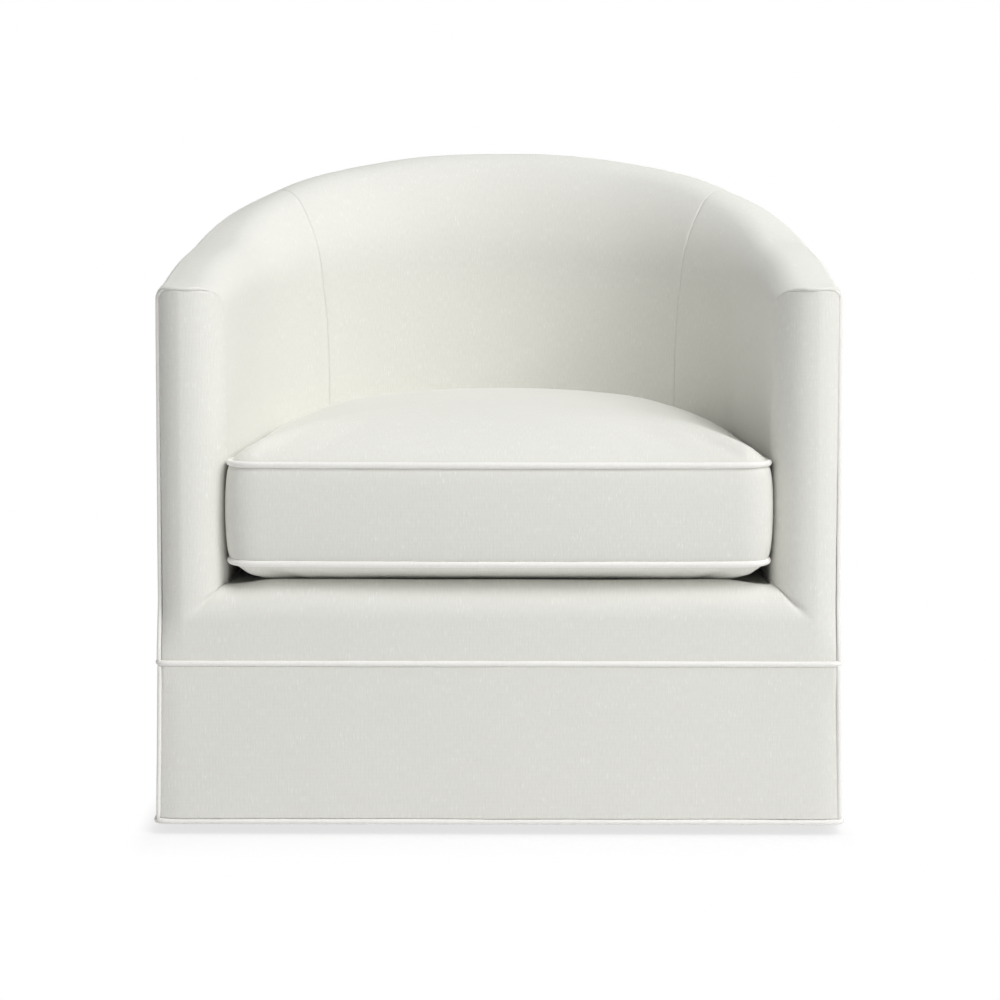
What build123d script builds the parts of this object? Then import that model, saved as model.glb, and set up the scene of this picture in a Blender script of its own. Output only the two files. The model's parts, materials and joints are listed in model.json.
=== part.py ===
from build123d import *
import os
from collections import namedtuple
from math import atan, ceil, cos, degrees, radians, sin, sqrt, tan

# Skirted swivel barrel chair, in millimetres. The origin is on the floor, on the swivel axis.
# +Z is up, -Y is the front, where the sitter's knees are, and +X is to the right seen from the front.

# Upholstered body
body_width = 762.0
body_depth = 750.0
arm_height = 616.0
shoulder_height = 649.0
crest_height = 757.0
rim_power = 1.3
arm_thickness = 69.0
back_thickness = 105.0
seam_angle = 52.5
arm_roll = 24.0
shoulder_roll_width = 42.0
shoulder_roll_drop = 56.0
crest_roll_width = 88.0
crest_roll_drop = 136.0
outer_edge_radius = 9.0
cap_thickness = 25.0
cover_thickness = 3.0
border_depth = 34.0
border_roll = 30.0
border_apron_bottom = 110.0
arm_front_corner = 16.0

# Fits
soft_gap = 0.3
running_fit = 0.05

# Welts
welt_radius = 3.5
welt_bed = 5.0
welt_corner = 10.0
welt_tail = 55.0

# Skirt
skirt_top = 193.2
skirt_thickness = 2.5
skirt_stand_off = 2.0
hem_clearance = 12.0
tack_strip_height = 16.0
tack_strip_thickness = 2.2

# Wooden frame
skin_thickness = 4.0
frame_back = 30.0
webbing_thickness = 1.0
webbing_width = 50.0
webbing_angles = (-45.0, 0.0, 45.0)
post_width = 44.0
post_thickness = 21.0
side_post_y = -160.0
back_post_angles = (-66.0, -24.0, 24.0, 66.0)
rail_height = 24.0
bottom_ring_thickness = 20.0
bottom_ring_width = 64.0
seat_ring_thickness = 20.0
seat_ring_width = 115.0
seat_ring_front_width = 52.0
seat_ring_top = 256.0
front_rail_thickness = 22.0

# Seat deck
spring_wire = 3.8
spring_spread = 60.0
spring_pitch = 40.0
spring_positions = (-196.0, -98.0, 0.0, 98.0, 196.0)
spring_margin = 8.0
clip_length = 14.0
clip_depth = 12.0
clip_wall = 1.6
insulator_thickness = 1.5
deck_pad_thickness = 8.6
deck_cover_thickness = 2.2

# Seat cushion
cushion_setback = 27.0
cushion_gap = 5.5
cushion_corner = 18.0
cushion_bow = 6.0
cushion_lower_seam = 304.5
cushion_upper_seam = 414.0
cushion_crown = 47.0
crown_flat = 150.0
crown_reach = 190.0
crown_power = 2.2
boxing_thickness = 4.0
boxing_bulge = 1.5
zipper_angle = 62.0
zipper_travel = 110.0
zipper_tape_width = 25.0
zipper_tape_thickness = 0.8
zipper_coil_width = 6.0
zipper_coil_height = 1.3
slider_length = 12.0
slider_width = 10.0
slider_wall = 1.2
pull_length = 20.0
pull_width = 5.0

# Swivel base
floor_ring_radius = 250.0
floor_ring_tube = 12.5
glide_count = 6
glide_sweep = 8.0
glide_width = 22.0
glide_thickness = 6.0
glide_saddle = 8.0
cross_width = 46.0
cross_thickness = 5.0
cross_seat = 30.0
race_thickness = 4.0
lower_race_radius = 105.0
upper_race_side = 240.0
upper_race_corner = 20.0
ball_circle = 85.0
ball_radius = 5.0
ball_count = 12
race_gap = 6.4
cage_width = 18.0
cage_thickness = 1.5
king_bolt_radius = 10.0
king_bolt_head_radius = 18.0
king_bolt_head_height = 6.0
bolt_tip = 1.0
washer_radius = 20.0
washer_thickness = 3.0
nut_across_flats = 30.0
nut_height = 10.0
plate_bolt_offset = 100.0
plate_bolt_radius = 3.0
plate_bolt_head_radius = 8.0
plate_bolt_head_height = 3.0
board_length = 660.0
board_depth = 280.0
board_thickness = 18.0
board_hole_radius = 25.0
dust_cover_thickness = 1.0
dust_cover_inset = 12.0

# Places worked out from the sizes above
half_width = body_width / 2
front_y = -body_depth / 2
back_y = body_depth / 2
arc_y = back_y - half_width
border_back_y = front_y + border_depth
frame_front_y = border_back_y + soft_gap
frame_inset = cover_thickness + soft_gap
skin_back = frame_inset + skin_thickness
ring_inset = skin_back + soft_gap
webbing_front = frame_back + soft_gap
pad_back = webbing_front + webbing_thickness + soft_gap
pad_bottom = seat_ring_top + soft_gap
post_centre = frame_back - post_thickness / 2 - soft_gap

# Inside of the wall in plan: each arm is a straight line, tangent at the shoulder to the round of the back
border_inner = half_width - arm_thickness
inner_reach = back_y - back_thickness - arc_y
straight_run = arc_y - front_y
inner_span = border_inner + inner_reach
inner_rise = inner_reach + straight_run
half_slope = (sqrt(inner_rise**2 + inner_span * (border_inner - inner_reach)) - inner_rise) / inner_span
inner_slope = 2 * atan(half_slope)
inner_radius = inner_reach / (1 - sin(inner_slope))
inner_y = back_y - back_thickness - inner_radius

# Heights of the covers, the welts and the skirt
top_welt_z = skirt_top + soft_gap + welt_radius
cover_bottom = top_welt_z + welt_radius + soft_gap
hem_welt_z = hem_clearance + welt_radius
skirt_bottom = hem_welt_z + welt_radius + soft_gap

# Heights of the swivel, from the floor up
ring_centre_z = glide_thickness + floor_ring_tube
cross_top = cross_seat + cross_thickness
lower_race_top = cross_top + race_thickness
upper_race_bottom = lower_race_top + race_gap
upper_race_top = upper_race_bottom + race_thickness
ball_z = lower_race_top + race_gap / 2
board_top = upper_race_top + board_thickness
washer_bottom = upper_race_top + soft_gap
nut_bottom = washer_bottom + washer_thickness
bolt_end = nut_bottom + nut_height + bolt_tip

# Heights of the frame and the deck
bottom_ring_top = board_top + bottom_ring_thickness
seat_ring_bottom = seat_ring_top - seat_ring_thickness
spring_z = seat_ring_top + clip_wall + spring_wire / 2 + running_fit
clip_top = spring_z + spring_wire / 2 + running_fit + clip_wall
insulator_bottom = clip_top + soft_gap
deck_pad_bottom = insulator_bottom + insulator_thickness + soft_gap
deck_cover_bottom = deck_pad_bottom + deck_pad_thickness + soft_gap
deck_top = deck_cover_bottom + deck_cover_thickness
cushion_rest = deck_top + soft_gap

sides = {"left": -1, "right": 1}
Station = namedtuple("Station", "plane rim thickness roll_width roll_drop")


def arm_station(side, y):
    """Cross-section plane of an arm, side -1 for the left and 1 for the right, at one place along Y."""
    share = (y - front_y) / straight_run
    return Station(
        Plane(origin=(side * half_width, y, 0), x_dir=(-side, 0, 0), z_dir=(0, side, 0)),
        arm_height + (shoulder_height - arm_height) * share,
        arm_thickness + (y - front_y) * tan(inner_slope),
        arm_roll + (shoulder_roll_width - arm_roll) * share,
        arm_roll + (shoulder_roll_drop - arm_roll) * share,
    )


def back_station(angle):
    """Cross-section plane of the round back, at an angle in degrees from the middle of the back."""
    turn = radians(angle)
    share = max(cos(turn), 0.0)
    centre_gap = arc_y - inner_y
    reach = sqrt(inner_radius**2 - (centre_gap * sin(turn)) ** 2) - centre_gap * cos(turn)
    outward = Vector(sin(turn), cos(turn), 0)
    return Station(
        Plane(
            origin=Vector(0, arc_y, 0) + outward * half_width,
            x_dir=outward * -1,
            z_dir=(-cos(turn), sin(turn), 0),
        ),
        shoulder_height + (crest_height - shoulder_height) * share**rim_power,
        half_width - reach,
        shoulder_roll_width + (crest_roll_width - shoulder_roll_width) * share,
        shoulder_roll_drop + (crest_roll_drop - shoulder_roll_drop) * share,
    )


def spread(start, end, count):
    """Evenly spaced values from start to end, both included."""
    return [start + (end - start) * i / (count - 1) for i in range(count)]


def arm_round(side):
    """Stations of the round part of an arm, from the shoulder to the seam with the back."""
    return [back_station(side * angle) for angle in spread(90, seam_angle, 5)]


def back_round():
    """Stations of the back, from the left seam to the right seam."""
    return [back_station(angle) for angle in spread(-seam_angle, seam_angle, 9)]


def arm_straight(side, start_y):
    """The two stations of the straight part of an arm."""
    return [arm_station(side, start_y), arm_station(side, arc_y)]


def pad_section(station):
    """Padding over the rim: a square outer edge with a small radius, and a soft roll towards the seat."""
    rim = station.rim
    under_cap = rim - cap_thickness
    flat_end = station.thickness - station.roll_width
    half_turn = radians(45)
    shoulder = (station.roll_width * sin(half_turn) - station.roll_drop * (1 - cos(half_turn))) / (
        sin(half_turn) + cos(half_turn) - 1
    )
    knee = (flat_end + shoulder * sin(half_turn), rim - shoulder * (1 - cos(half_turn)))
    roll_end = (station.thickness, rim - station.roll_drop)
    with BuildSketch(station.plane) as section:
        with BuildLine():
            Polyline(
                (pad_back, pad_bottom),
                (pad_back, under_cap),
                (0, under_cap),
                (0, rim - outer_edge_radius),
            )
            TangentArc((0, rim - outer_edge_radius), (outer_edge_radius, rim), tangent=(0, 1))
            Line((outer_edge_radius, rim), (flat_end, rim))
            TangentArc((flat_end, rim), knee, tangent=(1, 0))
            TangentArc(knee, roll_end, tangent=(1, -1))
            Polyline(roll_end, (station.thickness, pad_bottom), (pad_back, pad_bottom))
        make_face()
    return section.sketch


def strip_section(station, near, far, bottom, top):
    """Plain rectangle in a station's plane, from near to far behind the outside of the chair."""
    with BuildSketch(station.plane) as section:
        with BuildLine():
            Polyline((near, bottom), (far, bottom), (far, top), (near, top), close=True)
        make_face()
    return section.sketch


def rim_block(drop):
    """Space over a line that runs at one depth under the rim, from one arm front round to the other."""
    near = -border_depth
    far = half_width / 3
    top = crest_height + cap_thickness
    with BuildPart() as block:
        for side in sides.values():
            loft([strip_section(s, near, far, s.rim - drop, top) for s in arm_straight(side, 2 * front_y)])
            loft([strip_section(s, near, far, s.rim - drop, top) for s in arm_round(side)])
        loft([strip_section(s, near, far, s.rim - drop, top) for s in back_round()])
    return block.part


def body_outline(inset, start_y, z):
    """Floor plan of the body: a straight front, straight sides and a half-round back."""
    half = half_width - inset
    with BuildSketch(Plane.XY.offset(z)) as outline:
        with BuildLine():
            Polyline((-half, arc_y), (-half, start_y), (half, start_y), (half, arc_y))
            ThreePointArc((half, arc_y), (0, arc_y + half), (-half, arc_y))
        make_face()
    return outline.sketch


def wall_band(near, far, start_y, place, z):
    """Floor plan of a thin wall between two insets: the left arm, the back or the right arm of it."""
    far_out = 2 * body_width
    seam_x = far_out * sin(radians(seam_angle))
    seam_y = arc_y + far_out * cos(radians(seam_angle))
    with BuildSketch(Plane.XY.offset(z)) as band:
        add(body_outline(near, start_y, 0))
        add(body_outline(far, 2 * front_y, 0), mode=Mode.SUBTRACT)
        with BuildLine():
            Polyline((0, arc_y), (seam_x, seam_y), (0, far_out), (-seam_x, seam_y), close=True)
        make_face(mode=Mode.INTERSECT if place == "back" else Mode.SUBTRACT)
        if place in sides:
            with Locations((sides[place] * far_out / 2, 0)):
                Rectangle(far_out, 2 * far_out, mode=Mode.INTERSECT)
    return band.sketch


def seat_corners(inset, start_y):
    """Front corner, shoulder and back of the seat's floor plan, drawn in from the wall by an inset."""
    radius = inner_radius - inset
    shoulder_x = radius * cos(inner_slope)
    shoulder_y = inner_y + radius * sin(inner_slope)
    corner_x = shoulder_x + (shoulder_y - start_y) * tan(inner_slope)
    return corner_x, shoulder_x, shoulder_y, inner_y + radius


def seat_outline(inset, start_y, z):
    """Floor plan of the space between the arms and the inside back."""
    corner_x, shoulder_x, shoulder_y, end_y = seat_corners(inset, start_y)
    with BuildSketch(Plane.XY.offset(z)) as outline:
        with BuildLine():
            Polyline(
                (-shoulder_x, shoulder_y), (-corner_x, start_y), (corner_x, start_y), (shoulder_x, shoulder_y)
            )
            ThreePointArc((shoulder_x, shoulder_y), (0, end_y), (-shoulder_x, shoulder_y))
        make_face()
    return outline.sketch


def cushion_outline(inset, z):
    """Floor plan of the seat cushion, drawn in all round by an inset, with rounder corners further in."""
    start_y = front_y + cushion_setback + inset
    corner_x, shoulder_x, shoulder_y, end_y = seat_corners(cushion_gap + inset, start_y)
    with BuildSketch(Plane.XY.offset(z)) as outline:
        with BuildLine():
            ThreePointArc((-corner_x, start_y), (0, start_y - cushion_bow), (corner_x, start_y))
            Line((corner_x, start_y), (shoulder_x, shoulder_y))
            ThreePointArc((shoulder_x, shoulder_y), (0, end_y), (-shoulder_x, shoulder_y))
            Line((-shoulder_x, shoulder_y), (-corner_x, start_y))
        make_face()
        fillet(outline.vertices().group_by(Axis.Y)[0], cushion_corner + inset / 3)
    return outline.sketch


def loop_path(inset, z, corner):
    """Centre line of a welt that runs all the way round the body."""
    half = half_width - inset
    start_y = front_y + inset
    with BuildLine(Plane.XY.offset(z)) as path:
        Line((0, start_y), (half - corner, start_y))
        RadiusArc((half - corner, start_y), (half, start_y + corner), -corner)
        Line((half, start_y + corner), (half, arc_y))
        ThreePointArc((half, arc_y), (0, arc_y + half), (-half, arc_y))
        Line((-half, arc_y), (-half, start_y + corner))
        RadiusArc((-half, start_y + corner), (-half + corner, start_y), -corner)
        Line((-half + corner, start_y), (0, start_y))
    return path.line


def arc_band(inner, outer, sweep, middle, z):
    """Floor plan of a curved strip on the cushion's round back, sweep degrees wide about an angle."""
    start = radians(90 - middle - sweep / 2)
    end = radians(90 - middle + sweep / 2)
    centre = radians(90 - middle)
    near = [Vector(0, inner_y, 0) + Vector(cos(a), sin(a), 0) * inner for a in (start, centre, end)]
    far = [Vector(0, inner_y, 0) + Vector(cos(a), sin(a), 0) * outer for a in (start, centre, end)]
    with BuildSketch(Plane.XY.offset(z)) as band:
        with BuildLine():
            ThreePointArc(*far)
            Line(far[2], near[2])
            ThreePointArc(*near)
            Line(near[0], far[0])
        make_face()
    return band.sketch


def save(builder, name):
    """Label a finished piece and write it as its own file."""
    builder.part.label = name
    export_step(builder.part, f"parts/{name}.step")


os.makedirs("parts", exist_ok=True)

# Inside arms and inside back: the padding and its cover, sewn together at two seams
for name, side in sides.items():
    with BuildPart() as inside_arm:
        loft([pad_section(station) for station in arm_straight(side, border_back_y)])
        loft([pad_section(station) for station in arm_round(side)])
    save(inside_arm, f"inside_arm_{name}")

with BuildPart() as inside_back:
    loft([pad_section(station) for station in back_round()])
save(inside_back, "inside_back")

# Outside covers, from the skirt's welt up to the rim
under_cap = cap_thickness + soft_gap
over_covers = rim_block(under_cap)
wall_names = {"left": "arm_left", "back": "back", "right": "arm_right"}
for place, name in wall_names.items():
    with BuildPart() as outside_cover:
        cover_plan = wall_band(0, cover_thickness, front_y + welt_bed, place, cover_bottom)
        extrude(cover_plan, crest_height - cover_bottom)
        add(over_covers, mode=Mode.SUBTRACT)
    save(outside_cover, f"outside_{name}")

# Front border: two arm fronts and the front rail's face in one U, with a soft roll along its inside edge
border_outer = half_width - frame_inset
border_top = arm_height - soft_gap - cover_thickness
with BuildPart() as front_border:
    with BuildSketch(Plane.XZ.offset(-front_y)):
        with BuildLine():
            Polyline(
                (-border_outer, cover_bottom),
                (border_outer, cover_bottom),
                (border_outer, border_top),
                (border_inner, border_top),
                (border_inner, deck_top),
                (-border_inner, deck_top),
                (-border_inner, border_top),
                (-border_outer, border_top),
                close=True,
            )
        border_face = make_face()
        top_corners = border_face.vertices().group_by(Axis.Y)[-1].sort_by(Axis.X)
        fillet([top_corners[0], top_corners[-1]], welt_corner - welt_bed * 0.4)
    extrude(amount=-border_depth)
    front_edges = front_border.edges().group_by(Axis.Y)[0]
    outer_edges = front_edges.filter_by(Axis.Z).group_by(SortBy.LENGTH)[-1]
    top_edges = front_edges.filter_by(Axis.X).group_by(Axis.Z)[-1]
    chamfer(outer_edges + top_edges + front_edges.filter_by(GeomType.CIRCLE), welt_bed)
    with BuildLine() as roll_path:
        Polyline(
            (border_inner, front_y, border_top + border_roll),
            (border_inner, front_y, deck_top),
            (-border_inner, front_y, deck_top),
            (-border_inner, front_y, border_top + border_roll),
        )
    with BuildSketch(Plane.XY.offset(border_top + border_roll)):
        with BuildLine():
            Line((border_inner, front_y), (border_inner + border_roll, front_y))
            RadiusArc(
                (border_inner + border_roll, front_y), (border_inner, front_y + border_roll), border_roll
            )
            Line((border_inner, front_y + border_roll), (border_inner, front_y))
        make_face()
    sweep(path=roll_path.line, transition=Transition.RIGHT, mode=Mode.SUBTRACT)
    with BuildSketch(Plane.XZ.offset(-border_back_y)):
        for side in sides.values():
            with BuildLine():
                corner = (side * border_inner, border_top)
                above = (side * (border_inner + arm_front_corner), border_top)
                beside = (side * border_inner, border_top - arm_front_corner)
                Line(corner, above)
                RadiusArc(above, beside, -side * arm_front_corner)
                Line(beside, corner)
            make_face()
    extrude(amount=border_depth, mode=Mode.SUBTRACT)
    with BuildSketch(Plane.XY.offset(border_apron_bottom)):
        with Locations((0, (front_y + frame_inset + border_back_y) / 2)):
            Rectangle(2 * (border_outer - welt_corner), border_depth - frame_inset)
    extrude(amount=cover_bottom - border_apron_bottom)
save(front_border, "front_border")

# Welts up the outside and over the top of each arm front
arm_welt_x = half_width - frame_inset + welt_bed * 0.4
arm_welt_y = front_y + welt_bed * 0.3
arm_welt_z = border_top + welt_bed * 0.4
for name, side in sides.items():
    with BuildPart() as arm_welt:
        with BuildLine() as welt_path:
            FilletPolyline(
                (side * arm_welt_x, arm_welt_y, cover_bottom),
                (side * arm_welt_x, arm_welt_y, arm_welt_z),
                (side * (arm_welt_x - welt_tail), arm_welt_y, arm_welt_z),
                radius=welt_corner,
            )
        with BuildSketch(Plane.XY.offset(cover_bottom)):
            with Locations((side * arm_welt_x, arm_welt_y)):
                Circle(welt_radius)
        sweep(path=welt_path.line)
    save(arm_welt, f"arm_welt_{name}")

# Skirt: a front panel and one panel round the sides and back, with welts at the top, hem and front corners
corner_welt_offset = skirt_stand_off / 4
corner_welt_x = half_width - corner_welt_offset
corner_welt_y = front_y + corner_welt_offset
skirt_panel_end = corner_welt_offset + welt_radius + soft_gap
skirt_inner = skirt_thickness - skirt_stand_off
with BuildPart() as skirt_front:
    with BuildSketch(Plane.XY.offset(skirt_bottom)):
        with Locations((0, front_y + skirt_inner - skirt_thickness / 2)):
            Rectangle(2 * (half_width - skirt_panel_end), skirt_thickness)
    extrude(amount=skirt_top - skirt_bottom)
save(skirt_front, "skirt_front")

with BuildPart() as skirt_wrap:
    extrude(body_outline(-skirt_stand_off, front_y + skirt_panel_end, skirt_bottom), skirt_top - skirt_bottom)
    extrude(
        body_outline(skirt_inner, front_y, skirt_bottom),
        skirt_top - skirt_bottom,
        mode=Mode.SUBTRACT,
    )
save(skirt_wrap, "skirt_wrap")

for name, z in {"skirt_top_welt": top_welt_z, "skirt_hem_welt": hem_welt_z}.items():
    with BuildPart() as skirt_welt:
        welt_line = loop_path(-soft_gap, z, welt_corner)
        with BuildSketch(Plane(origin=(0, front_y - soft_gap, z), z_dir=(1, 0, 0))):
            Circle(welt_radius)
        sweep(path=welt_line)
    save(skirt_welt, name)

with BuildPart() as skirt_corner_welts:
    with BuildSketch(Plane.XY.offset(skirt_bottom)):
        with Locations((-corner_welt_x, corner_welt_y), (corner_welt_x, corner_welt_y)):
            Circle(welt_radius)
    extrude(amount=skirt_top - skirt_bottom)
save(skirt_corner_welts, "skirt_corner_welts")

# Card strip behind the skirt's top edge, which the skirt is stapled to
tack_far = frame_inset - soft_gap
tack_near = tack_far - tack_strip_thickness
with BuildPart() as skirt_tack_strip:
    tack_base = skirt_top - tack_strip_height
    with BuildSketch(Plane.XY.offset(tack_base)):
        with Locations((0, front_y + (tack_near + tack_far) / 2)):
            Rectangle(2 * (half_width - 2 * skirt_panel_end), tack_strip_thickness)
    extrude(amount=tack_strip_height)
    extrude(body_outline(tack_near, front_y + 2 * skirt_panel_end, tack_base), tack_strip_height)
    extrude(body_outline(tack_far, front_y + tack_far, tack_base), tack_strip_height, mode=Mode.SUBTRACT)
save(skirt_tack_strip, "skirt_tack_strip")

# Bent fibreboard skin round the lower frame
with BuildPart() as frame_skin:
    extrude(body_outline(frame_inset, frame_front_y, board_top), seat_ring_top - board_top)
    extrude(body_outline(skin_back, front_y, board_top), seat_ring_top - board_top, mode=Mode.SUBTRACT)
save(frame_skin, "frame_skin")

# Plywood rings under the frame and under the seat
with BuildPart() as bottom_ring:
    extrude(body_outline(ring_inset, frame_front_y, board_top), bottom_ring_thickness)
    extrude(
        body_outline(ring_inset + bottom_ring_width, frame_front_y + bottom_ring_width, board_top),
        bottom_ring_thickness,
        mode=Mode.SUBTRACT,
    )
save(bottom_ring, "bottom_ring")

# Posts: where they stand in plan, and how they are turned
post_reach = half_width - post_centre
front_post_y = frame_front_y + post_width / 2
front_spots = [(side * post_reach, front_post_y, 90) for side in sides.values()]
side_spots = [(side * post_reach, side_post_y, 90) for side in sides.values()]
back_spots = []
for angle in back_post_angles:
    spot_x = post_reach * sin(radians(angle))
    spot_y = arc_y + post_reach * cos(radians(angle))
    back_spots.append((spot_x, spot_y, -angle))

over_posts = rim_block(under_cap + rail_height + soft_gap)
for name, spots in {"front_posts": front_spots, "side_posts": side_spots, "back_posts": back_spots}.items():
    with BuildPart() as posts:
        with BuildSketch(Plane.XY.offset(bottom_ring_top)):
            for x, y, turn in spots:
                with Locations((x, y)):
                    Rectangle(post_width, post_thickness, rotation=turn)
        extrude(amount=crest_height - bottom_ring_top)
        add(over_posts, mode=Mode.SUBTRACT)
    save(posts, name)

with BuildPart() as seat_ring:
    extrude(body_outline(ring_inset, frame_front_y, seat_ring_bottom), seat_ring_thickness)
    extrude(
        body_outline(ring_inset + seat_ring_width, frame_front_y + seat_ring_front_width, seat_ring_bottom),
        seat_ring_thickness,
        mode=Mode.SUBTRACT,
    )
    with BuildSketch(Plane.XY.offset(seat_ring_bottom)):
        for x, y, turn in front_spots + side_spots + back_spots:
            with Locations((x, y)):
                Rectangle(post_width + 2 * soft_gap, post_thickness + 2 * soft_gap, rotation=turn)
    extrude(amount=seat_ring_thickness, mode=Mode.SUBTRACT)
save(seat_ring, "seat_ring")

with BuildPart() as front_rail:
    with BuildSketch(Plane.XY.offset(bottom_ring_top)):
        with Locations((0, frame_front_y + front_rail_thickness / 2)):
            Rectangle(2 * (post_reach - post_thickness / 2 - soft_gap), front_rail_thickness)
    extrude(amount=seat_ring_bottom - bottom_ring_top)
save(front_rail, "front_rail")

# Rails under the rim
over_rails = rim_block(under_cap + rail_height)
rail_names = {"left": "arm_rail_left", "back": "crest_rail", "right": "arm_rail_right"}
for place, name in rail_names.items():
    with BuildPart() as rail:
        rail_plan = wall_band(frame_inset, frame_back, frame_front_y, place, seat_ring_top)
        extrude(rail_plan, crest_height - seat_ring_top)
        add(over_covers, mode=Mode.SUBTRACT)
        add(over_rails, mode=Mode.INTERSECT)
    save(rail, name)

# Webbing straps up the inside of the back, between the posts, from the seat ring to the crest rail
webbing_radius = half_width - webbing_front
webbing_sweep = degrees(webbing_width / webbing_radius)
with BuildPart() as back_webbing:
    for angle in webbing_angles:
        strap_top = back_station(abs(angle) + webbing_sweep).rim - cap_thickness - soft_gap
        strap_plane = Plane(
            origin=(0, arc_y, 0),
            x_dir=(sin(radians(angle + webbing_sweep / 2)), cos(radians(angle + webbing_sweep / 2)), 0),
            z_dir=(cos(radians(angle + webbing_sweep / 2)), -sin(radians(angle + webbing_sweep / 2)), 0),
        )
        with BuildSketch(strap_plane):
            with BuildLine():
                Polyline(
                    (webbing_radius - webbing_thickness, pad_bottom),
                    (webbing_radius, pad_bottom),
                    (webbing_radius, strap_top),
                    (webbing_radius - webbing_thickness, strap_top),
                    close=True,
                )
            make_face()
        revolve(axis=Axis((0, arc_y, 0), (0, 0, 1)), revolution_arc=webbing_sweep)
save(back_webbing, "back_webbing")

# Zigzag seat springs: straight bars joined by half turns, hooked into a clip at each end
spring_start_y = frame_front_y + seat_ring_front_width - spring_margin
ring_hole_radius = half_width - ring_inset - seat_ring_width
spring_runs = []
for x in spring_positions:
    run_end_y = arc_y + sqrt(ring_hole_radius**2 - x**2) + spring_margin
    gaps = ceil((run_end_y - spring_start_y) / spring_pitch)
    spring_runs.append((x, gaps, (run_end_y - spring_start_y) / gaps))

with BuildPart() as seat_springs:
    for x, gaps, pitch in spring_runs:
        bar = (spring_spread - pitch) / 2
        with BuildLine(Plane.XY.offset(spring_z)) as wire:
            heading = 1
            for i in range(gaps + 1):
                bar_y = spring_start_y + i * pitch
                Line((x - heading * bar, bar_y), (x + heading * bar, bar_y))
                if i < gaps:
                    ThreePointArc(
                        (x + heading * bar, bar_y),
                        (x + heading * spring_spread / 2, bar_y + pitch / 2),
                        (x + heading * bar, bar_y + pitch),
                    )
                heading = -heading
        with BuildSketch(Plane(origin=(x - bar, spring_start_y, spring_z), z_dir=(1, 0, 0))):
            Circle(spring_wire / 2)
        sweep(path=wire.line)
save(seat_springs, "seat_springs")

with BuildPart() as spring_clips:
    for x, gaps, pitch in spring_runs:
        for clip_y in (spring_start_y, spring_start_y + gaps * pitch):
            with BuildSketch(Plane.YZ.offset(x - clip_length / 2)):
                with Locations((clip_y, (seat_ring_top + clip_top) / 2)):
                    Rectangle(clip_depth, clip_top - seat_ring_top)
                with Locations((clip_y, spring_z)):
                    Circle(spring_wire / 2 + running_fit, mode=Mode.SUBTRACT)
            extrude(amount=clip_length)
save(spring_clips, "spring_clips")

# Layers of the deck over the springs
deck_layers = {
    "spring_insulator": (insulator_bottom, insulator_thickness),
    "deck_pad": (deck_pad_bottom, deck_pad_thickness),
    "deck_cover": (deck_cover_bottom, deck_cover_thickness),
}
for name, (z, thickness) in deck_layers.items():
    with BuildPart() as deck_layer:
        extrude(seat_outline(soft_gap, border_back_y, z), thickness)
    save(deck_layer, name)

# Seat cushion: crowned top and bottom panels, a boxing band between two welts, and a foam core
core_inset = boxing_thickness + soft_gap
boxing_bottom = cushion_lower_seam + welt_radius + soft_gap
boxing_top = cushion_upper_seam - welt_radius - soft_gap
boxing_middle = (boxing_bottom + boxing_top) / 2
crown_insets = spread(core_inset, crown_flat, 5)


def crown_share(inset):
    """Share of the crown's height reached at an inset from the cushion's edge."""
    first = (1 - crown_insets[0] / crown_reach) ** crown_power
    last = (1 - crown_insets[-1] / crown_reach) ** crown_power
    return (first - (1 - inset / crown_reach) ** crown_power) / (first - last)


with BuildPart() as cushion_top:
    loft([cushion_outline(i, cushion_upper_seam + cushion_crown * crown_share(i)) for i in crown_insets])
save(cushion_top, "cushion_top")

with BuildPart() as cushion_bottom:
    bottom_crown = cushion_lower_seam - cushion_rest
    loft([cushion_outline(i, cushion_lower_seam - bottom_crown * crown_share(i)) for i in crown_insets])
save(cushion_bottom, "cushion_bottom")

with BuildPart() as cushion_core:
    core_bottom = cushion_lower_seam + soft_gap
    extrude(cushion_outline(core_inset, core_bottom), cushion_upper_seam - soft_gap - core_bottom)
save(cushion_core, "cushion_core")

cushion_radius = inner_radius - cushion_gap
tape_outer = cushion_radius - soft_gap
tape_inner = tape_outer - zipper_tape_thickness
coil_outer = tape_outer + zipper_coil_height

with BuildPart() as cushion_boxing:
    loft(
        [
            cushion_outline(boxing_bulge, boxing_bottom),
            cushion_outline(0, boxing_middle),
            cushion_outline(boxing_bulge, boxing_top),
        ]
    )
    extrude(cushion_outline(boxing_thickness, boxing_bottom), boxing_top - boxing_bottom, mode=Mode.SUBTRACT)
    recess_bottom = boxing_middle - zipper_tape_width / 2 - soft_gap
    extrude(
        arc_band(tape_inner - soft_gap, cushion_radius + slider_width, 2 * zipper_angle, 0, recess_bottom),
        zipper_tape_width + 2 * soft_gap,
        mode=Mode.SUBTRACT,
    )
save(cushion_boxing, "cushion_boxing")

for name, z in {"cushion_welt_top": cushion_upper_seam, "cushion_welt_bottom": cushion_lower_seam}.items():
    with BuildPart() as cushion_welt:
        welt_face = cushion_outline(soft_gap, z)
        welt_wire = welt_face.face().outer_wire()
        with BuildSketch(Plane(origin=welt_wire @ 0, z_dir=welt_wire % 0)):
            Circle(welt_radius)
        sweep(path=welt_wire)
    save(cushion_welt, name)

# Zipper across the back of the boxing, with a slider that rides on its coil
with BuildPart() as cushion_zipper:
    tape_sweep = 2 * (zipper_angle - degrees(soft_gap / cushion_radius))
    extrude(
        arc_band(tape_inner, tape_outer, tape_sweep, 0, boxing_middle - zipper_tape_width / 2),
        zipper_tape_width,
    )
    extrude(
        arc_band(tape_outer, coil_outer, tape_sweep, 0, boxing_middle - zipper_coil_width / 2),
        zipper_coil_width,
    )
save(cushion_zipper, "cushion_zipper")

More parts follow.
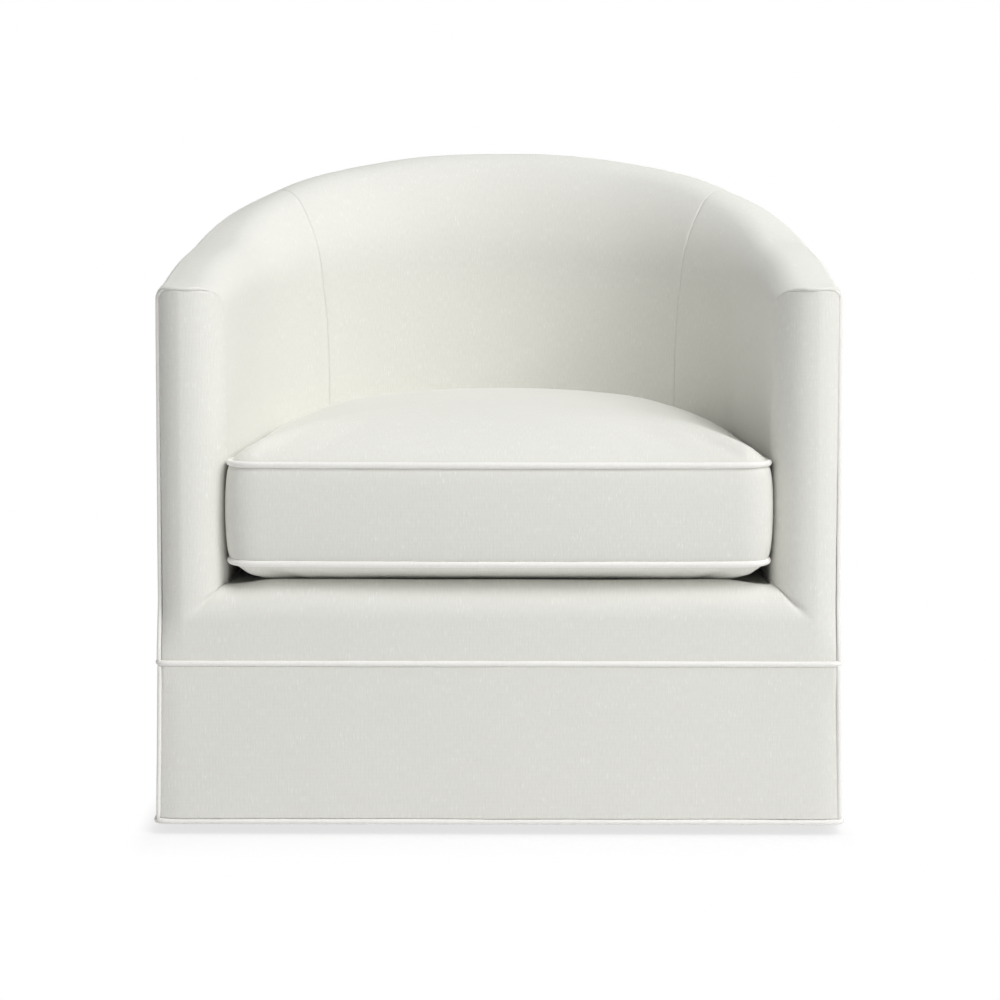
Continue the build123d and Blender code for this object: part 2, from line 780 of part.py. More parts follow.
slider_angle = zipper_travel / 2
slider_sweep = degrees(slider_length / cushion_radius)
slider_lip = tape_outer + soft_gap
slider_floor = coil_outer + soft_gap
slider_outer = slider_floor + slider_wall
with BuildPart() as zipper_slider:
    extrude(
        arc_band(slider_lip, slider_outer, slider_sweep, slider_angle, boxing_middle - slider_width / 2),
        slider_width,
    )
    channel_width = zipper_coil_width + 2 * soft_gap
    extrude(
        arc_band(slider_lip, slider_floor, 2 * slider_sweep, slider_angle, boxing_middle - channel_width / 2),
        channel_width,
        mode=Mode.SUBTRACT,
    )
    pull_sweep = degrees(pull_width / cushion_radius)
    pull_outer = slider_outer + slider_wall / 2
    extrude(
        arc_band(slider_outer, pull_outer, pull_sweep, slider_angle, boxing_middle - pull_length), pull_length
    )
save(zipper_slider, "zipper_slider")

# Swivel base: a steel ring on glides, with a cross that carries the lower race
with BuildPart() as floor_ring:
    with BuildSketch(Plane.XZ):
        with Locations((floor_ring_radius, ring_centre_z)):
            Circle(floor_ring_tube)
    revolve(axis=Axis.Z)
save(floor_ring, "floor_ring")

with BuildPart() as floor_glides:
    for i in range(glide_count):
        glide_plane = Plane.XZ.rotated((0, 0, i * 360 / glide_count - glide_sweep / 2))
        with BuildSketch(glide_plane):
            with Locations((floor_ring_radius, glide_saddle)):
                Rectangle(glide_width, 2 * glide_saddle)
            with Locations((floor_ring_radius, ring_centre_z)):
                Circle(floor_ring_tube + running_fit, mode=Mode.SUBTRACT)
        revolve(axis=Axis.Z, revolution_arc=glide_sweep)
save(floor_glides, "floor_glides")

with BuildPart() as base_cross:
    with BuildSketch(Plane.XY.offset(cross_seat)):
        Rectangle(2 * (floor_ring_radius + floor_ring_tube / 2), cross_width)
        Rectangle(cross_width, 2 * (floor_ring_radius + floor_ring_tube / 2))
        Circle(lower_race_radius)
        Circle(king_bolt_radius + running_fit, mode=Mode.SUBTRACT)
    extrude(amount=cross_thickness)
    add(floor_ring.part, mode=Mode.SUBTRACT)
save(base_cross, "base_cross")

with BuildPart() as lower_race:
    with BuildSketch(Plane.XY.offset(cross_top)):
        Circle(lower_race_radius)
        Circle(king_bolt_radius + running_fit, mode=Mode.SUBTRACT)
    extrude(amount=race_thickness)
    with BuildSketch(Plane.XZ):
        with Locations((ball_circle, ball_z)):
            Circle(ball_radius + running_fit)
    revolve(axis=Axis.Z, mode=Mode.SUBTRACT)
save(lower_race, "lower_race")

with BuildPart() as king_bolt:
    with BuildSketch(Plane.XY.offset(cross_seat - king_bolt_head_height)):
        Circle(king_bolt_head_radius)
    extrude(amount=king_bolt_head_height)
    with BuildSketch(Plane.XY.offset(cross_seat)):
        Circle(king_bolt_radius)
    extrude(amount=bolt_end - cross_seat)
    chamfer(king_bolt.edges().group_by(Axis.Z)[-1], bolt_tip)
save(king_bolt, "king_bolt")

with BuildPart() as thrust_washer:
    with BuildSketch(Plane.XY.offset(washer_bottom)):
        Circle(washer_radius)
        Circle(king_bolt_radius + running_fit, mode=Mode.SUBTRACT)
    extrude(amount=washer_thickness)
save(thrust_washer, "thrust_washer")

with BuildPart() as lock_nut:
    with BuildSketch(Plane.XY.offset(nut_bottom)):
        RegularPolygon(nut_across_flats / 2, 6, major_radius=False)
        Circle(king_bolt_radius + running_fit, mode=Mode.SUBTRACT)
    extrude(amount=nut_height)
save(lock_nut, "lock_nut")

with BuildPart() as ball_cage:
    with BuildSketch(Plane.XY.offset(ball_z - cage_thickness / 2)):
        Circle(ball_circle + cage_width / 2)
        Circle(ball_circle - cage_width / 2, mode=Mode.SUBTRACT)
        with PolarLocations(ball_circle, ball_count):
            Circle(ball_radius + running_fit, mode=Mode.SUBTRACT)
    extrude(amount=cage_thickness)
save(ball_cage, "ball_cage")

with BuildPart() as bearing_balls:
    for ball_spot in PolarLocations(ball_circle, ball_count):
        with Locations(ball_spot.position + Vector(0, 0, ball_z)):
            Sphere(ball_radius)
save(bearing_balls, "bearing_balls")

with BuildPart() as upper_race:
    with BuildSketch(Plane.XY.offset(upper_race_bottom)):
        RectangleRounded(upper_race_side, upper_race_side, upper_race_corner)
        Circle(king_bolt_radius + running_fit, mode=Mode.SUBTRACT)
        with GridLocations(2 * plate_bolt_offset, 2 * plate_bolt_offset, 2, 2):
            Circle(plate_bolt_radius + running_fit, mode=Mode.SUBTRACT)
    extrude(amount=race_thickness)
    with BuildSketch(Plane.XZ):
        with Locations((ball_circle, ball_z)):
            Circle(ball_radius + running_fit)
    revolve(axis=Axis.Z, mode=Mode.SUBTRACT)
save(upper_race, "upper_race")

with BuildPart() as plate_bolts:
    with BuildSketch(Plane.XY.offset(upper_race_bottom - plate_bolt_head_height)):
        with GridLocations(2 * plate_bolt_offset, 2 * plate_bolt_offset, 2, 2):
            Circle(plate_bolt_head_radius)
    extrude(amount=plate_bolt_head_height)
    with BuildSketch(Plane.XY.offset(upper_race_bottom)):
        with GridLocations(2 * plate_bolt_offset, 2 * plate_bolt_offset, 2, 2):
            Circle(plate_bolt_radius)
    extrude(amount=board_top - upper_race_bottom)
save(plate_bolts, "plate_bolts")

with BuildPart() as swivel_board:
    with BuildSketch(Plane.XY.offset(upper_race_top)):
        Rectangle(board_length, board_depth)
        Circle(board_hole_radius, mode=Mode.SUBTRACT)
        with GridLocations(2 * plate_bolt_offset, 2 * plate_bolt_offset, 2, 2):
            Circle(plate_bolt_radius + running_fit, mode=Mode.SUBTRACT)
    extrude(amount=board_thickness)
save(swivel_board, "swivel_board")

# Dust cover stapled under the bottom ring, round the board
with BuildPart() as dust_cover:
    cover_z = board_top - dust_cover_thickness
    cover_plan = body_outline(ring_inset + dust_cover_inset, frame_front_y + dust_cover_inset, cover_z)
    extrude(cover_plan, dust_cover_thickness)
    with BuildSketch(Plane.XY.offset(cover_z)):
        Rectangle(board_length + 2 * soft_gap, board_depth + 2 * soft_gap)
    extrude(amount=dust_cover_thickness, mode=Mode.SUBTRACT)
save(dust_cover, "dust_cover")
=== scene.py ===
# %% [markdown]
# # A skirted swivel barrel chair
# The chair is one upholstered shell on a hidden swivel: a round back that slopes down into two arms, a loose
# seat cushion, and a skirt to the floor. The solids come in as a fixed frame, and this lesson dresses them in
# cloth. Everything is in metres in that frame, but a sewing room works in millimetres, so sizes are written so.

# %% Load the frame
import json
import math

import bpy
import numpy as np
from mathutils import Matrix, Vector


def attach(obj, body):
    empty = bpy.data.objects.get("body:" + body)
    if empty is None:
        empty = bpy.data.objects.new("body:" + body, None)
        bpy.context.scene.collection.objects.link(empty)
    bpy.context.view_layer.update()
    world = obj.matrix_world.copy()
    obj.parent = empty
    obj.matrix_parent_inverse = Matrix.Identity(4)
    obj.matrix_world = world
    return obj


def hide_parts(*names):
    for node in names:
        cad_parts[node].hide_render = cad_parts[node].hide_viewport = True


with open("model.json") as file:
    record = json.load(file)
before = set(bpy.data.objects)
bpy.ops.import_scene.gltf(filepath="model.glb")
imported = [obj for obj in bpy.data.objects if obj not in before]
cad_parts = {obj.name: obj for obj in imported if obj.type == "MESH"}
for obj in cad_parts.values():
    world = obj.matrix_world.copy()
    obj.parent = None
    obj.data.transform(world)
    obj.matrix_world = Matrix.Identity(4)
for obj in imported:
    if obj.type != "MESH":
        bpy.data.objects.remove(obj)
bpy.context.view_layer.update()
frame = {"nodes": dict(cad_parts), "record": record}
MM = 0.001

# %% [markdown]
# ## Colours and nodes
# A colour is written the way a colour card gives it, as an sRGB hex value, and the shader wants it linear. Nodes
# could be wired one by one, but a helper that adds a node, sets it and links it keeps each recipe readable.

# %% Helpers for materials


def linear(card):
    """An sRGB hex colour as linear red, green, blue and alpha."""
    parts = [int(card[i : i + 2], 16) / 255 for i in (1, 3, 5)]
    return (*[p / 12.92 if p <= 0.04045 else ((p + 0.055) / 1.055) ** 2.4 for p in parts], 1.0)


def add(tree, kind, inputs=None, **settings):
    """Add a shader node with its settings, and set or link its inputs. Gives its first output."""
    node = tree.nodes.new("ShaderNode" + kind)
    for name, value in settings.items():
        setattr(node, name, value)
    for name, value in (inputs or {}).items():
        if isinstance(value, bpy.types.NodeSocket):
            tree.links.new(value, node.inputs[name])
        else:
            node.inputs[name].default_value = value
    return node.outputs[0]


def new_material(name, **sockets):
    """A material with its constant values on the shader's own sockets. Gives it, its tree and its shader."""
    material = bpy.data.materials.new(name)
    material.use_nodes = True
    shader = material.node_tree.nodes["Principled BSDF"]
    for socket, value in sockets.items():
        shader.inputs[socket.replace("_", " ")].default_value = value
    return material, material.node_tree, shader


def wire(tree, shader, colour, roughness, normal):
    """Link the three outputs that change over a finish."""
    for socket, output in (("Base Color", colour), ("Roughness", roughness), ("Normal", normal)):
        tree.links.new(output, shader.inputs[socket])


# %% [markdown]
# ## The cover cloth
# The cover is a heavy off-white polyester and linen-look plain weave. It is matte, with a faint sheen at grazing
# angles, and its spun yarn is uneven: thicker stretches, called slubs, show as short pale flecks that run mostly up
# and down and come in loose clusters. The weave could be painted as an image, but nodes on a UV map in metres follow
# the cloth round every bend. Threads of 0.7 mm would be finer than a pixel, so they are drawn at 1.5 mm, and slubs
# at 1.6 by 9 mm.

# %% Ivory cloth
# At a scale of 1, the bands of a wave texture lie this far apart.
WAVE_STEP = math.pi / 10
YARN_SHARES, WEAVE_SHARE, RELIEF = (0.65, 0.25, 0.10), 0.22, 0.5
# Per metre: soft patches some 110 mm wide, and clusters of slubs some 26 mm wide.
BROAD_SCALE, CLUSTER_SCALE = 9.0, 38.0
TONES, SLUBS, CLUSTERS = (0.34, 0.66), (0.59, 0.72), (0.46, 0.64)


def woven_cloth(name, light, shade, pale, thread, slub, bias=0.0, lift=0.35):
    """Plain weave on a piece's own UV map: thread spacing and slub size in millimetres, turned by bias."""
    material, tree, shader = new_material(
        name, Specular_IOR_Level=0.25, Sheen_Weight=0.12, Sheen_Roughness=0.45, IOR=1.45
    )
    cloth = tree.nodes.new("ShaderNodeTexCoord").outputs["UV"]
    turned = add(tree, "Mapping", {"Vector": cloth, "Rotation": (0, 0, bias)})
    threads, thick = [], []
    for direction in ("X", "Y"):
        inputs = {"Vector": turned, "Scale": WAVE_STEP / (thread * MM), "Distortion": 1.2, "Detail": 1.0}
        threads.append(add(tree, "TexWave", inputs, bands_direction=direction))
    weave = add(tree, "Math", {0: threads[0], 1: threads[1]}, operation="ADD")
    # Slubs run up and down as flecks and, a little longer, across as picks.
    for scale in ((1 / (slub[0] * MM), 1 / (slub[1] * MM), 1), (0.6 / (slub[1] * MM), 1 / (slub[0] * MM), 1)):
        place = add(tree, "Mapping", {"Vector": turned, "Scale": scale})
        thick.append(add(tree, "TexNoise", {"Vector": place, "Scale": 1.0, "Detail": 2.0, "Roughness": 0.6}))
    flecks, picks = thick
    broad = add(tree, "TexNoise", {"Vector": turned, "Scale": BROAD_SCALE, "Detail": 2.0})
    yarn = 0.0
    for noise, share in zip((flecks, picks, broad), YARN_SHARES):
        yarn = add(tree, "Math", {0: noise, 1: share, 2: yarn}, operation="MULTIPLY_ADD")
    tone = add(tree, "MapRange", {"Value": yarn, "From Min": TONES[0], "From Max": TONES[1]})
    ground = add(tree, "MixRGB", {"Fac": tone, "Color1": linear(shade), "Color2": linear(light)})
    cluster = add(tree, "TexNoise", {"Vector": turned, "Scale": CLUSTER_SCALE, "Detail": 1.0})
    cluster = add(tree, "MapRange", {"Value": cluster, "From Min": CLUSTERS[0], "From Max": CLUSTERS[1]})
    slubs = add(tree, "MapRange", {"Value": flecks, "From Min": SLUBS[0], "From Max": SLUBS[1]})
    slubs = add(tree, "Math", {0: slubs, 1: cluster}, operation="MULTIPLY")
    colour = add(tree, "MixRGB", {"Fac": slubs, "Color1": ground, "Color2": linear(pale)})
    rough = add(tree, "MapRange", {"Value": yarn, "From Min": 0.3, "From Max": 0.7, "To Min": 0.96, "To Max": 0.84})
    height = add(tree, "Math", {0: weave, 1: WEAVE_SHARE, 2: yarn}, operation="MULTIPLY_ADD")
    bump = add(tree, "Bump", {"Height": height, "Strength": lift, "Distance": RELIEF * MM})
    wire(tree, shader, colour, rough, bump)
    return material


ivory_cloth = woven_cloth("ivory plain weave cloth", "#EEEEE8", "#E8E7E1", "#F7F7F2", thread=1.5, slub=(1.6, 9.0))
print("cover cloth:", ivory_cloth.name)

# %% [markdown]
# ## The welts' cloth
# A welt is a cord wrapped in a strip of the same cloth, cut on the bias so that it bends round corners. Its
# threads therefore run at 45 degrees to the cord. Its colours are a paler copy of the cover cloth's: a painted
# highlight for the light that the round cord catches.

# %% Bias-cut cloth for the welts
welt_cloth_painted_highlight = woven_cloth(
    "ivory bias-cut welt cloth",
    # Both tones are paler than the cover cloth's: a painted highlight on the round cords.
    light="#FCFBF8",
    shade="#F6F4F0",
    pale="#FFFFFD",
    thread=1.4,
    slub=(1.8, 6.0),
    bias=math.pi / 4,
    lift=0.25,
)
print("welt cloth:", welt_cloth_painted_highlight.name)

# %% [markdown]
# ## Panels of cloth
# Every cover starts as a flat cutting: a grid with a column per warp line and a row per weft line. It could be
# modelled in place, but laying a flat grid keeps its UV map in real metres, so the weave is never stretched. After
# laying, seams are pulled in along the surface's own normals, and Solidify gives the cloth its thickness.

# %% Helpers for panels
COVER, WELT = "ivory_upholstery_fabric", "ivory_welt"


def read(parts, key, width, kind=float):
    """A value of every vertex, corner or face: one number each, or a row of several."""
    flat = np.empty(width * len(parts), kind)
    parts.foreach_get(key, flat)
    return flat.reshape(-1, width) if width > 1 else flat


def points_of(piece):
    return read(piece.data.vertices, "co", 3)


def move_points(piece, points):
    piece.data.vertices.foreach_set("co", np.asarray(points, float).ravel())
    piece.data.update()


def only(piece):
    """Deselect everything, then select this piece alone."""
    bpy.ops.object.select_all(action="DESELECT")
    piece.select_set(True)
    bpy.context.view_layer.objects.active = piece


def in_edit(piece, step, **settings):
    """Run an edit-mode operator on all of a piece."""
    only(piece)
    bpy.ops.object.mode_set(mode="EDIT")
    bpy.ops.mesh.select_all(action="SELECT")
    step(**settings)
    bpy.ops.object.mode_set(mode="OBJECT")


def spread(start, end, step):
    """Evenly spaced values from start to end, about step apart."""
    return np.linspace(start, end, max(2, int(round(abs(end - start) / step)) + 1))


def lines(*runs):
    """Grid lines from several runs of (start, end, step) that follow each other."""
    return np.unique(np.round(np.concatenate([spread(*run) for run in runs]), 6))


def lay_uv(piece, warp, weft):
    """Write a UV map in metres, from each vertex's place on the flat cloth in millimetres."""
    corner = read(piece.data.loops, "vertex_index", 1, int)
    flat = np.stack([warp[corner], weft[corner]], 1) * MM
    piece.data.uv_layers.active.data.foreach_set("uv", flat.ravel())


def cut_panel(name, columns, rows):
    """A flat grid as a cutting of cloth. Gives it with each vertex's column and row value."""
    bpy.ops.object.select_all(action="DESELECT")
    bpy.ops.mesh.primitive_grid_add(x_subdivisions=len(columns) - 1, y_subdivisions=len(rows) - 1, size=2)
    piece = bpy.context.object
    piece.name = piece.data.name = name
    flat = points_of(piece)
    column = np.rint((flat[:, 0] + 1) / 2 * (len(columns) - 1)).astype(int)
    row = np.rint((flat[:, 1] + 1) / 2 * (len(rows) - 1)).astype(int)
    return piece, np.asarray(columns)[column], np.asarray(rows)[row]


def push(piece, amount):
    """Move each vertex along its normal, by an amount in millimetres."""
    normal = read(piece.data.vertices, "normal", 3)
    move_points(piece, points_of(piece) + normal * np.asarray(amount)[:, None] * MM)


def apply(piece, kind, **settings):
    """Add a modifier, set it and apply it."""
    only(piece)
    modifier = piece.modifiers.new(kind.lower(), kind)
    for name, value in settings.items():
        setattr(modifier, name, value)
    bpy.ops.object.modifier_apply(modifier=modifier.name)


def thicken(piece, thickness):
    """Give a laid sheet its thickness in millimetres, behind its face."""
    apply(piece, "SOLIDIFY", thickness=thickness * MM, offset=-1)


def face_out(piece, inside):
    """Turn a sheet's faces away from a point inside the chair, given in millimetres."""
    away = points_of(piece) - np.asarray(inside) * MM
    if np.sum(read(piece.data.vertices, "normal", 3) * away) < 0:
        in_edit(piece, bpy.ops.mesh.flip_normals)


def dress(piece, body, slot, material, *nodes):
    """Give a finished piece its material and its place in the frame."""
    only(piece)
    bpy.ops.object.shade_smooth()
    piece.data.materials.clear()
    piece.data.materials.append(material)
    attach(piece, body)
    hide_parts(*nodes)
    faces = sum(len(p.vertices) - 2 for p in piece.data.polygons)
    print(f"{piece.name}: {faces} triangles on {body}")


# %% [markdown]
# ## The line of the wall
# In plan the wall is a half circle with two straight arms. Its rim is about 755 mm high in the middle of the back
# and falls in one line to 616 mm at the arm fronts, a little fuller where the padding was laid thicker. A place on
# it is given by one number, the path: millimetres along the outside from the middle of the back, negative to the
# sitter's right. All wall panels share these functions.

# %% Wall functions
HALF_WIDTH, FRONT, SHOULDER_Y = 381.0, -375.0, -6.0
ARM_TOP, SHOULDER_TOP, CREST, RIM_POWER = 616.0, 649.0, 757.0, 1.3
LEAN_ANGLE = math.radians(3.1574)
ARM_DEPTH, ARM_LEAN = 74.0, math.tan(LEAN_ANGLE)
WALL_START, SHOULDER_DEPTH, DEPTH_CURVE = -315.0, 89.355, (1.89, -0.89)
INSIDE_RADIUS, INSIDE_Y = 292.088, -22.088
QUARTER = HALF_WIDTH * math.pi / 2
SEAM_PATH = HALF_WIDTH * math.radians(52.5)
FRONT_PATH = QUARTER + SHOULDER_Y - FRONT
SEAT_LINE = 262.0
# Hand-laid padding makes the rim fuller in some places: by how much, at which path, over what reach.
RIM_SWELLS = ((-2.3, 0, 80), (4.2, 301, 80), (5.0, 430, 90), (5.5, 745, 125))
# Width and drop of the roll at three places, and how quickly it grows along the arm.
FRONT_ROLL, SHOULDER_ROLL, CREST_ROLL, ROLL_GROWTH = (31.0, 26.0), (42.0, 56.0), (88.0, 136.0), 0.8
# The outer edge is rounder by FRONT_ROUND at the arm front, and gets so over the last ROUND_REACH.
LIP, EDGE_ROUND, FRONT_ROUND, ROUND_REACH = 25.0, 10.0, 8.0, 50.0
# The top crowns where it is wide enough, and flattens again towards the arm front.
TOP_CROWN, CROWN_FROM, CROWN_RAMP, CROWN_FADE = 3.5, 12.0, 8.0, 60.0


def wall(path):
    """Turn round the back, run along the arm, and the wall's rim, depth and roll there."""
    turn = np.clip(path / HALF_WIDTH, -math.pi / 2, math.pi / 2)
    run = np.maximum(np.abs(path) - QUARTER, 0)
    share = np.clip(1 - run / (SHOULDER_Y - FRONT), 0, 1)
    round_share = np.clip(np.cos(turn), 0, 1)
    on_arm = run > 0
    gap = SHOULDER_Y - INSIDE_Y
    reach = np.sqrt(INSIDE_RADIUS**2 - (gap * np.sin(turn)) ** 2) - gap * round_share
    rim = np.where(
        on_arm,
        ARM_TOP + (SHOULDER_TOP - ARM_TOP) * share,
        SHOULDER_TOP + (CREST - SHOULDER_TOP) * round_share**RIM_POWER,
    )
    for swell, place, reach_along in RIM_SWELLS:
        rim = rim + swell * np.exp(-(((np.abs(path) - place) / reach_along) ** 2))
    back_share = np.clip((SHOULDER_Y - run - WALL_START) / (SHOULDER_Y - WALL_START), 0, 1)
    growth = DEPTH_CURVE[0] * back_share**2 + DEPTH_CURVE[1] * back_share**3
    depth = np.where(on_arm, ARM_DEPTH + (SHOULDER_DEPTH - ARM_DEPTH) * growth, HALF_WIDTH - reach)
    rolls = []
    for arm, shoulder, crest in zip(FRONT_ROLL, SHOULDER_ROLL, CREST_ROLL):
        along_arm = arm + (shoulder - arm) * share**ROLL_GROWTH
        rolls.append(np.where(on_arm, along_arm, shoulder + (crest - shoulder) * round_share))
    return turn, run, rim, depth, *rolls


def stand(path, inward, z):
    """Points in metres on the wall, at a depth inward from its outside and a height."""
    turn, run = wall(path)[:2]
    x = np.sin(turn) * (HALF_WIDTH - inward)
    y = SHOULDER_Y + np.cos(turn) * (HALF_WIDTH - inward) - run
    return np.stack([x, y, z], 1) * MM


def over_rim(row, path):
    """Depth inward, height and cloth length up the wall. Rows 0-1 are the outside lip, 1-2 the outer edge, 2-3 the
    top, 3-5 the roll in two arcs and 5-6 the inside wall down to the seat."""
    _, _, rim, depth, width, drop = wall(path)
    to_front = FRONT_PATH - np.abs(path)
    edge = EDGE_ROUND + FRONT_ROUND * np.clip(1 - to_front / ROUND_REACH, 0, 1) ** 2
    flat_end = depth - width
    slope = math.sin(math.pi / 4)
    first = (width * slope - drop * (1 - slope)) / (2 * slope - 1)
    second = (drop - first * (1 - slope)) / slope
    part = np.clip(row[:, None] - np.arange(6), 0, 1)
    inward = np.zeros_like(path)
    z = rim - LIP + part[:, 0] * (LIP - edge)
    crowned = np.clip((flat_end - edge - CROWN_FROM) / CROWN_RAMP, 0, 1) * np.clip(to_front / CROWN_FADE, 0, 1)
    z -= TOP_CROWN * crowned * (1 - part[:, 2]) ** 2
    angle = part[:, 1] * math.pi / 2
    inward += edge * (1 - np.cos(angle)) + part[:, 2] * (flat_end - edge)
    z += edge * np.sin(angle)
    angle = part[:, 3] * math.pi / 4
    inward += first * np.sin(angle)
    z -= first * (1 - np.cos(angle))
    angle = math.pi / 4 * (1 + part[:, 4])
    inward += second * (np.sin(angle) - slope)
    z -= second * (slope - np.cos(angle))
    fall = rim - drop - SEAT_LINE
    z -= part[:, 5] * fall
    length = fall * (1 - part[:, 5]) + math.pi / 4 * (second * (1 - part[:, 4]) + first * (1 - part[:, 3]))
    length += (flat_end - edge) * (1 - part[:, 2]) + edge * math.pi / 2 * (1 - part[:, 1])
    return inward, z, length + (LIP - edge) * (1 - part[:, 0])


RIM_ROWS = lines((0, 1, 0.2), (1, 2, 0.125), (2, 3, 0.125), (3, 4, 0.0625), (4, 5, 0.0625), (5, 6, 0.014))
print("rim rows:", len(RIM_ROWS), "wall path, front to front:", round(2 * FRONT_PATH), "mm")

# %% [markdown]
# ## Inside back
# The inside back is one padded panel that rolls over the crest and tucks under it outside. A fine plain seam joins
# it to each inside arm and swings out a little where it climbs over the roll. It could be a lofted shell, but a
# wrapped cutting lets the seams pull in as sewn ones do.

# %% Inside back panel
PAD_CLOTH, PAD_WAVE = 4.0, 0.35
TOP_MIDDLE, WALL_ROW = 2.5, 5.0
SEAM_DEPTH, SEAM_WIDTH, FLAT_SHARE = 1.6, 1.6, 0.2
LIP_FOLD, FOLD_WIDTH = 2.5, 3.0
SEAM_SWING, SWING_CLIMB, SWING_SPREAD = 22.0, 392.0, 95.0
FINE, MEDIUM = 12.0, 40.0


def valley(distance, depth, width):
    """How far a seam pulls the cloth in, at a distance from it: a tight fold in a wider, shallow dip."""
    return -depth * (0.7 * np.exp(-((distance / width) ** 2)) + 0.3 * np.exp(-((distance / (4 * width)) ** 2)))


def padding(points, height):
    """Unevenness of hand-laid padding, some tenths of a millimetre high, from three crossed waves."""
    x, y, z = (points / MM).T
    wave = np.sin(x / 83 + 1.3) * np.sin(z / 71 + 0.4) + 0.7 * np.sin((x + z) / 47 + 2.1) * np.sin(y / 59)
    return height * (wave + 0.5 * np.sin((x - 1.7 * z) / 31 + 0.8) * np.sin((y + z) / 37))


def lip_fold(row):
    """Fold along the lower edge of the outside lip."""
    return valley(row * LIP, LIP_FOLD, FOLD_WIDTH)


def seam_fold(distance, row):
    """Fold of a plain seam, deepest on the wall and almost flat over the rolled rim."""
    on_wall = np.clip((row - TOP_MIDDLE) / (WALL_ROW - TOP_MIDDLE), FLAT_SHARE, 1)
    return valley(distance * INSIDE_RADIUS / HALF_WIDTH, SEAM_DEPTH, SEAM_WIDTH) * on_wall


def seam_line(row):
    """Path of the seam from back to arm, which swings out to the arm where it climbs over the roll."""
    climb = over_rim(row, np.full_like(row, SEAM_PATH))[2]
    swing = np.exp(-(((climb - SWING_CLIMB) / SWING_SPREAD) ** 2)) * np.clip(row - 2, 0, 1)
    return SEAM_PATH + SEAM_SWING * swing


def lay_over_rim(panel, path, row, inside):
    """Lay a cutting over the rim with its weave, and face it away from a point inside the padding."""
    inward, z, length = over_rim(row, path)
    move_points(panel, stand(path, inward, z))
    lay_uv(panel, path * INSIDE_RADIUS / HALF_WIDTH, length)
    face_out(panel, inside)


seam_lines = lines((-SEAM_PATH, FINE - SEAM_PATH, 1.5), (FINE - SEAM_PATH, MEDIUM - SEAM_PATH, 4))
middle_lines = spread(MEDIUM - SEAM_PATH, SEAM_PATH - MEDIUM, 6)[1:-1]
back_lines = np.concatenate([seam_lines, middle_lines, -seam_lines[::-1]])
inside_back, path, row = cut_panel("inside_back_panel", back_lines, RIM_ROWS)
path = path * seam_line(row) / SEAM_PATH
lay_over_rim(inside_back, path, row, (0, 340, 500))
fold = seam_fold(seam_line(row) - np.abs(path), row) + lip_fold(row)
push(inside_back, fold + padding(points_of(inside_back), PAD_WAVE))
thicken(inside_back, PAD_CLOTH)
dress(inside_back, "chair", COVER, ivory_cloth, "inside_back")

# %% [markdown]
# ## Plan of an arm front
# Seen from above, the front of an arm isn't flat: it is a crowned pad that rolls back to the seat, a little squarer
# than an ellipse, and turns in to the welt at its outer edge. Just above the band it is held flatter. One function
# gives that line, and the front border and the inside arm's cap both end on it, so the seam over the arm front closes.

# %% Arm front line
ROLL_WIDTH, ROLL_DEPTH, ROLL_POWER = 47.0, WALL_START - FRONT, 2.3
BORDER_OUT, BORDER_IN, BAND_LINE = 377.7, HALF_WIDTH - ARM_DEPTH, 195.5
# The outer turn would end a little past the border's edge.
CROWN_START, CROWN_DEPTH, CROWN_SPARE = 342.0, 22.0, 0.8
LOW_SHARE, LOW_REACH, HIGH_UP, LIP_ROUND = 0.22, 75.0, 400.0, 3.5


def smooth(share):
    """A share from 0 to 1 that starts and ends gently."""
    return share * share * (3 - 2 * share)


def quarter_round(distance, radius):
    """Share of its full height that a rounded edge has, at a distance in from the edge."""
    return np.sqrt(1 - np.clip(1 - distance / radius, 0, 1) ** 2)


def front_lip(distance, radius=LIP_ROUND):
    """Drop of a rounded edge of cloth, at a distance from the seam."""
    return radius * (1 - quarter_round(distance, radius))


def rolled_edge(distance, width, depth, power=2.0):
    """How far a rolled edge of this width has turned back, at a distance from its end."""
    left = np.clip(1 - distance / width, 0, 1)
    return depth * (1 - (1 - left**power) ** (1 / power))


def arm_roll(x):
    """How far the arm front has rolled back towards the seat, at a distance from the middle of the chair."""
    return rolled_edge(np.abs(x) - BORDER_IN, ROLL_WIDTH, ROLL_DEPTH, ROLL_POWER)


def arm_front(x, z=HIGH_UP):
    """How far the arm front lies behind the foremost line, at a distance from the middle of the chair and a height."""
    turned = np.clip((np.abs(x) - CROWN_START) / (BORDER_OUT + CROWN_SPARE - CROWN_START), 0, 1)
    fade = LOW_SHARE + (1 - LOW_SHARE) * smooth(np.clip((z - BAND_LINE) / LOW_REACH, 0, 1))
    return arm_roll(x) + fade * CROWN_DEPTH * (1 - np.sqrt(1 - turned**2))


print("arm front: rolls back", ROLL_DEPTH, "mm inside and", round(float(arm_front(BORDER_OUT)), 1), "mm outside")

# %% [markdown]
# ## Inside arms
# Each inside arm runs from the seam with the back to the arm front, and its top reaches over the front border as a
# cap. So its front edge isn't square: the cap goes to the foremost line, and the wall stops where the border's roll
# ends. The second arm could be a mirror copy, but laying it again keeps its faces and its weave the right way round.

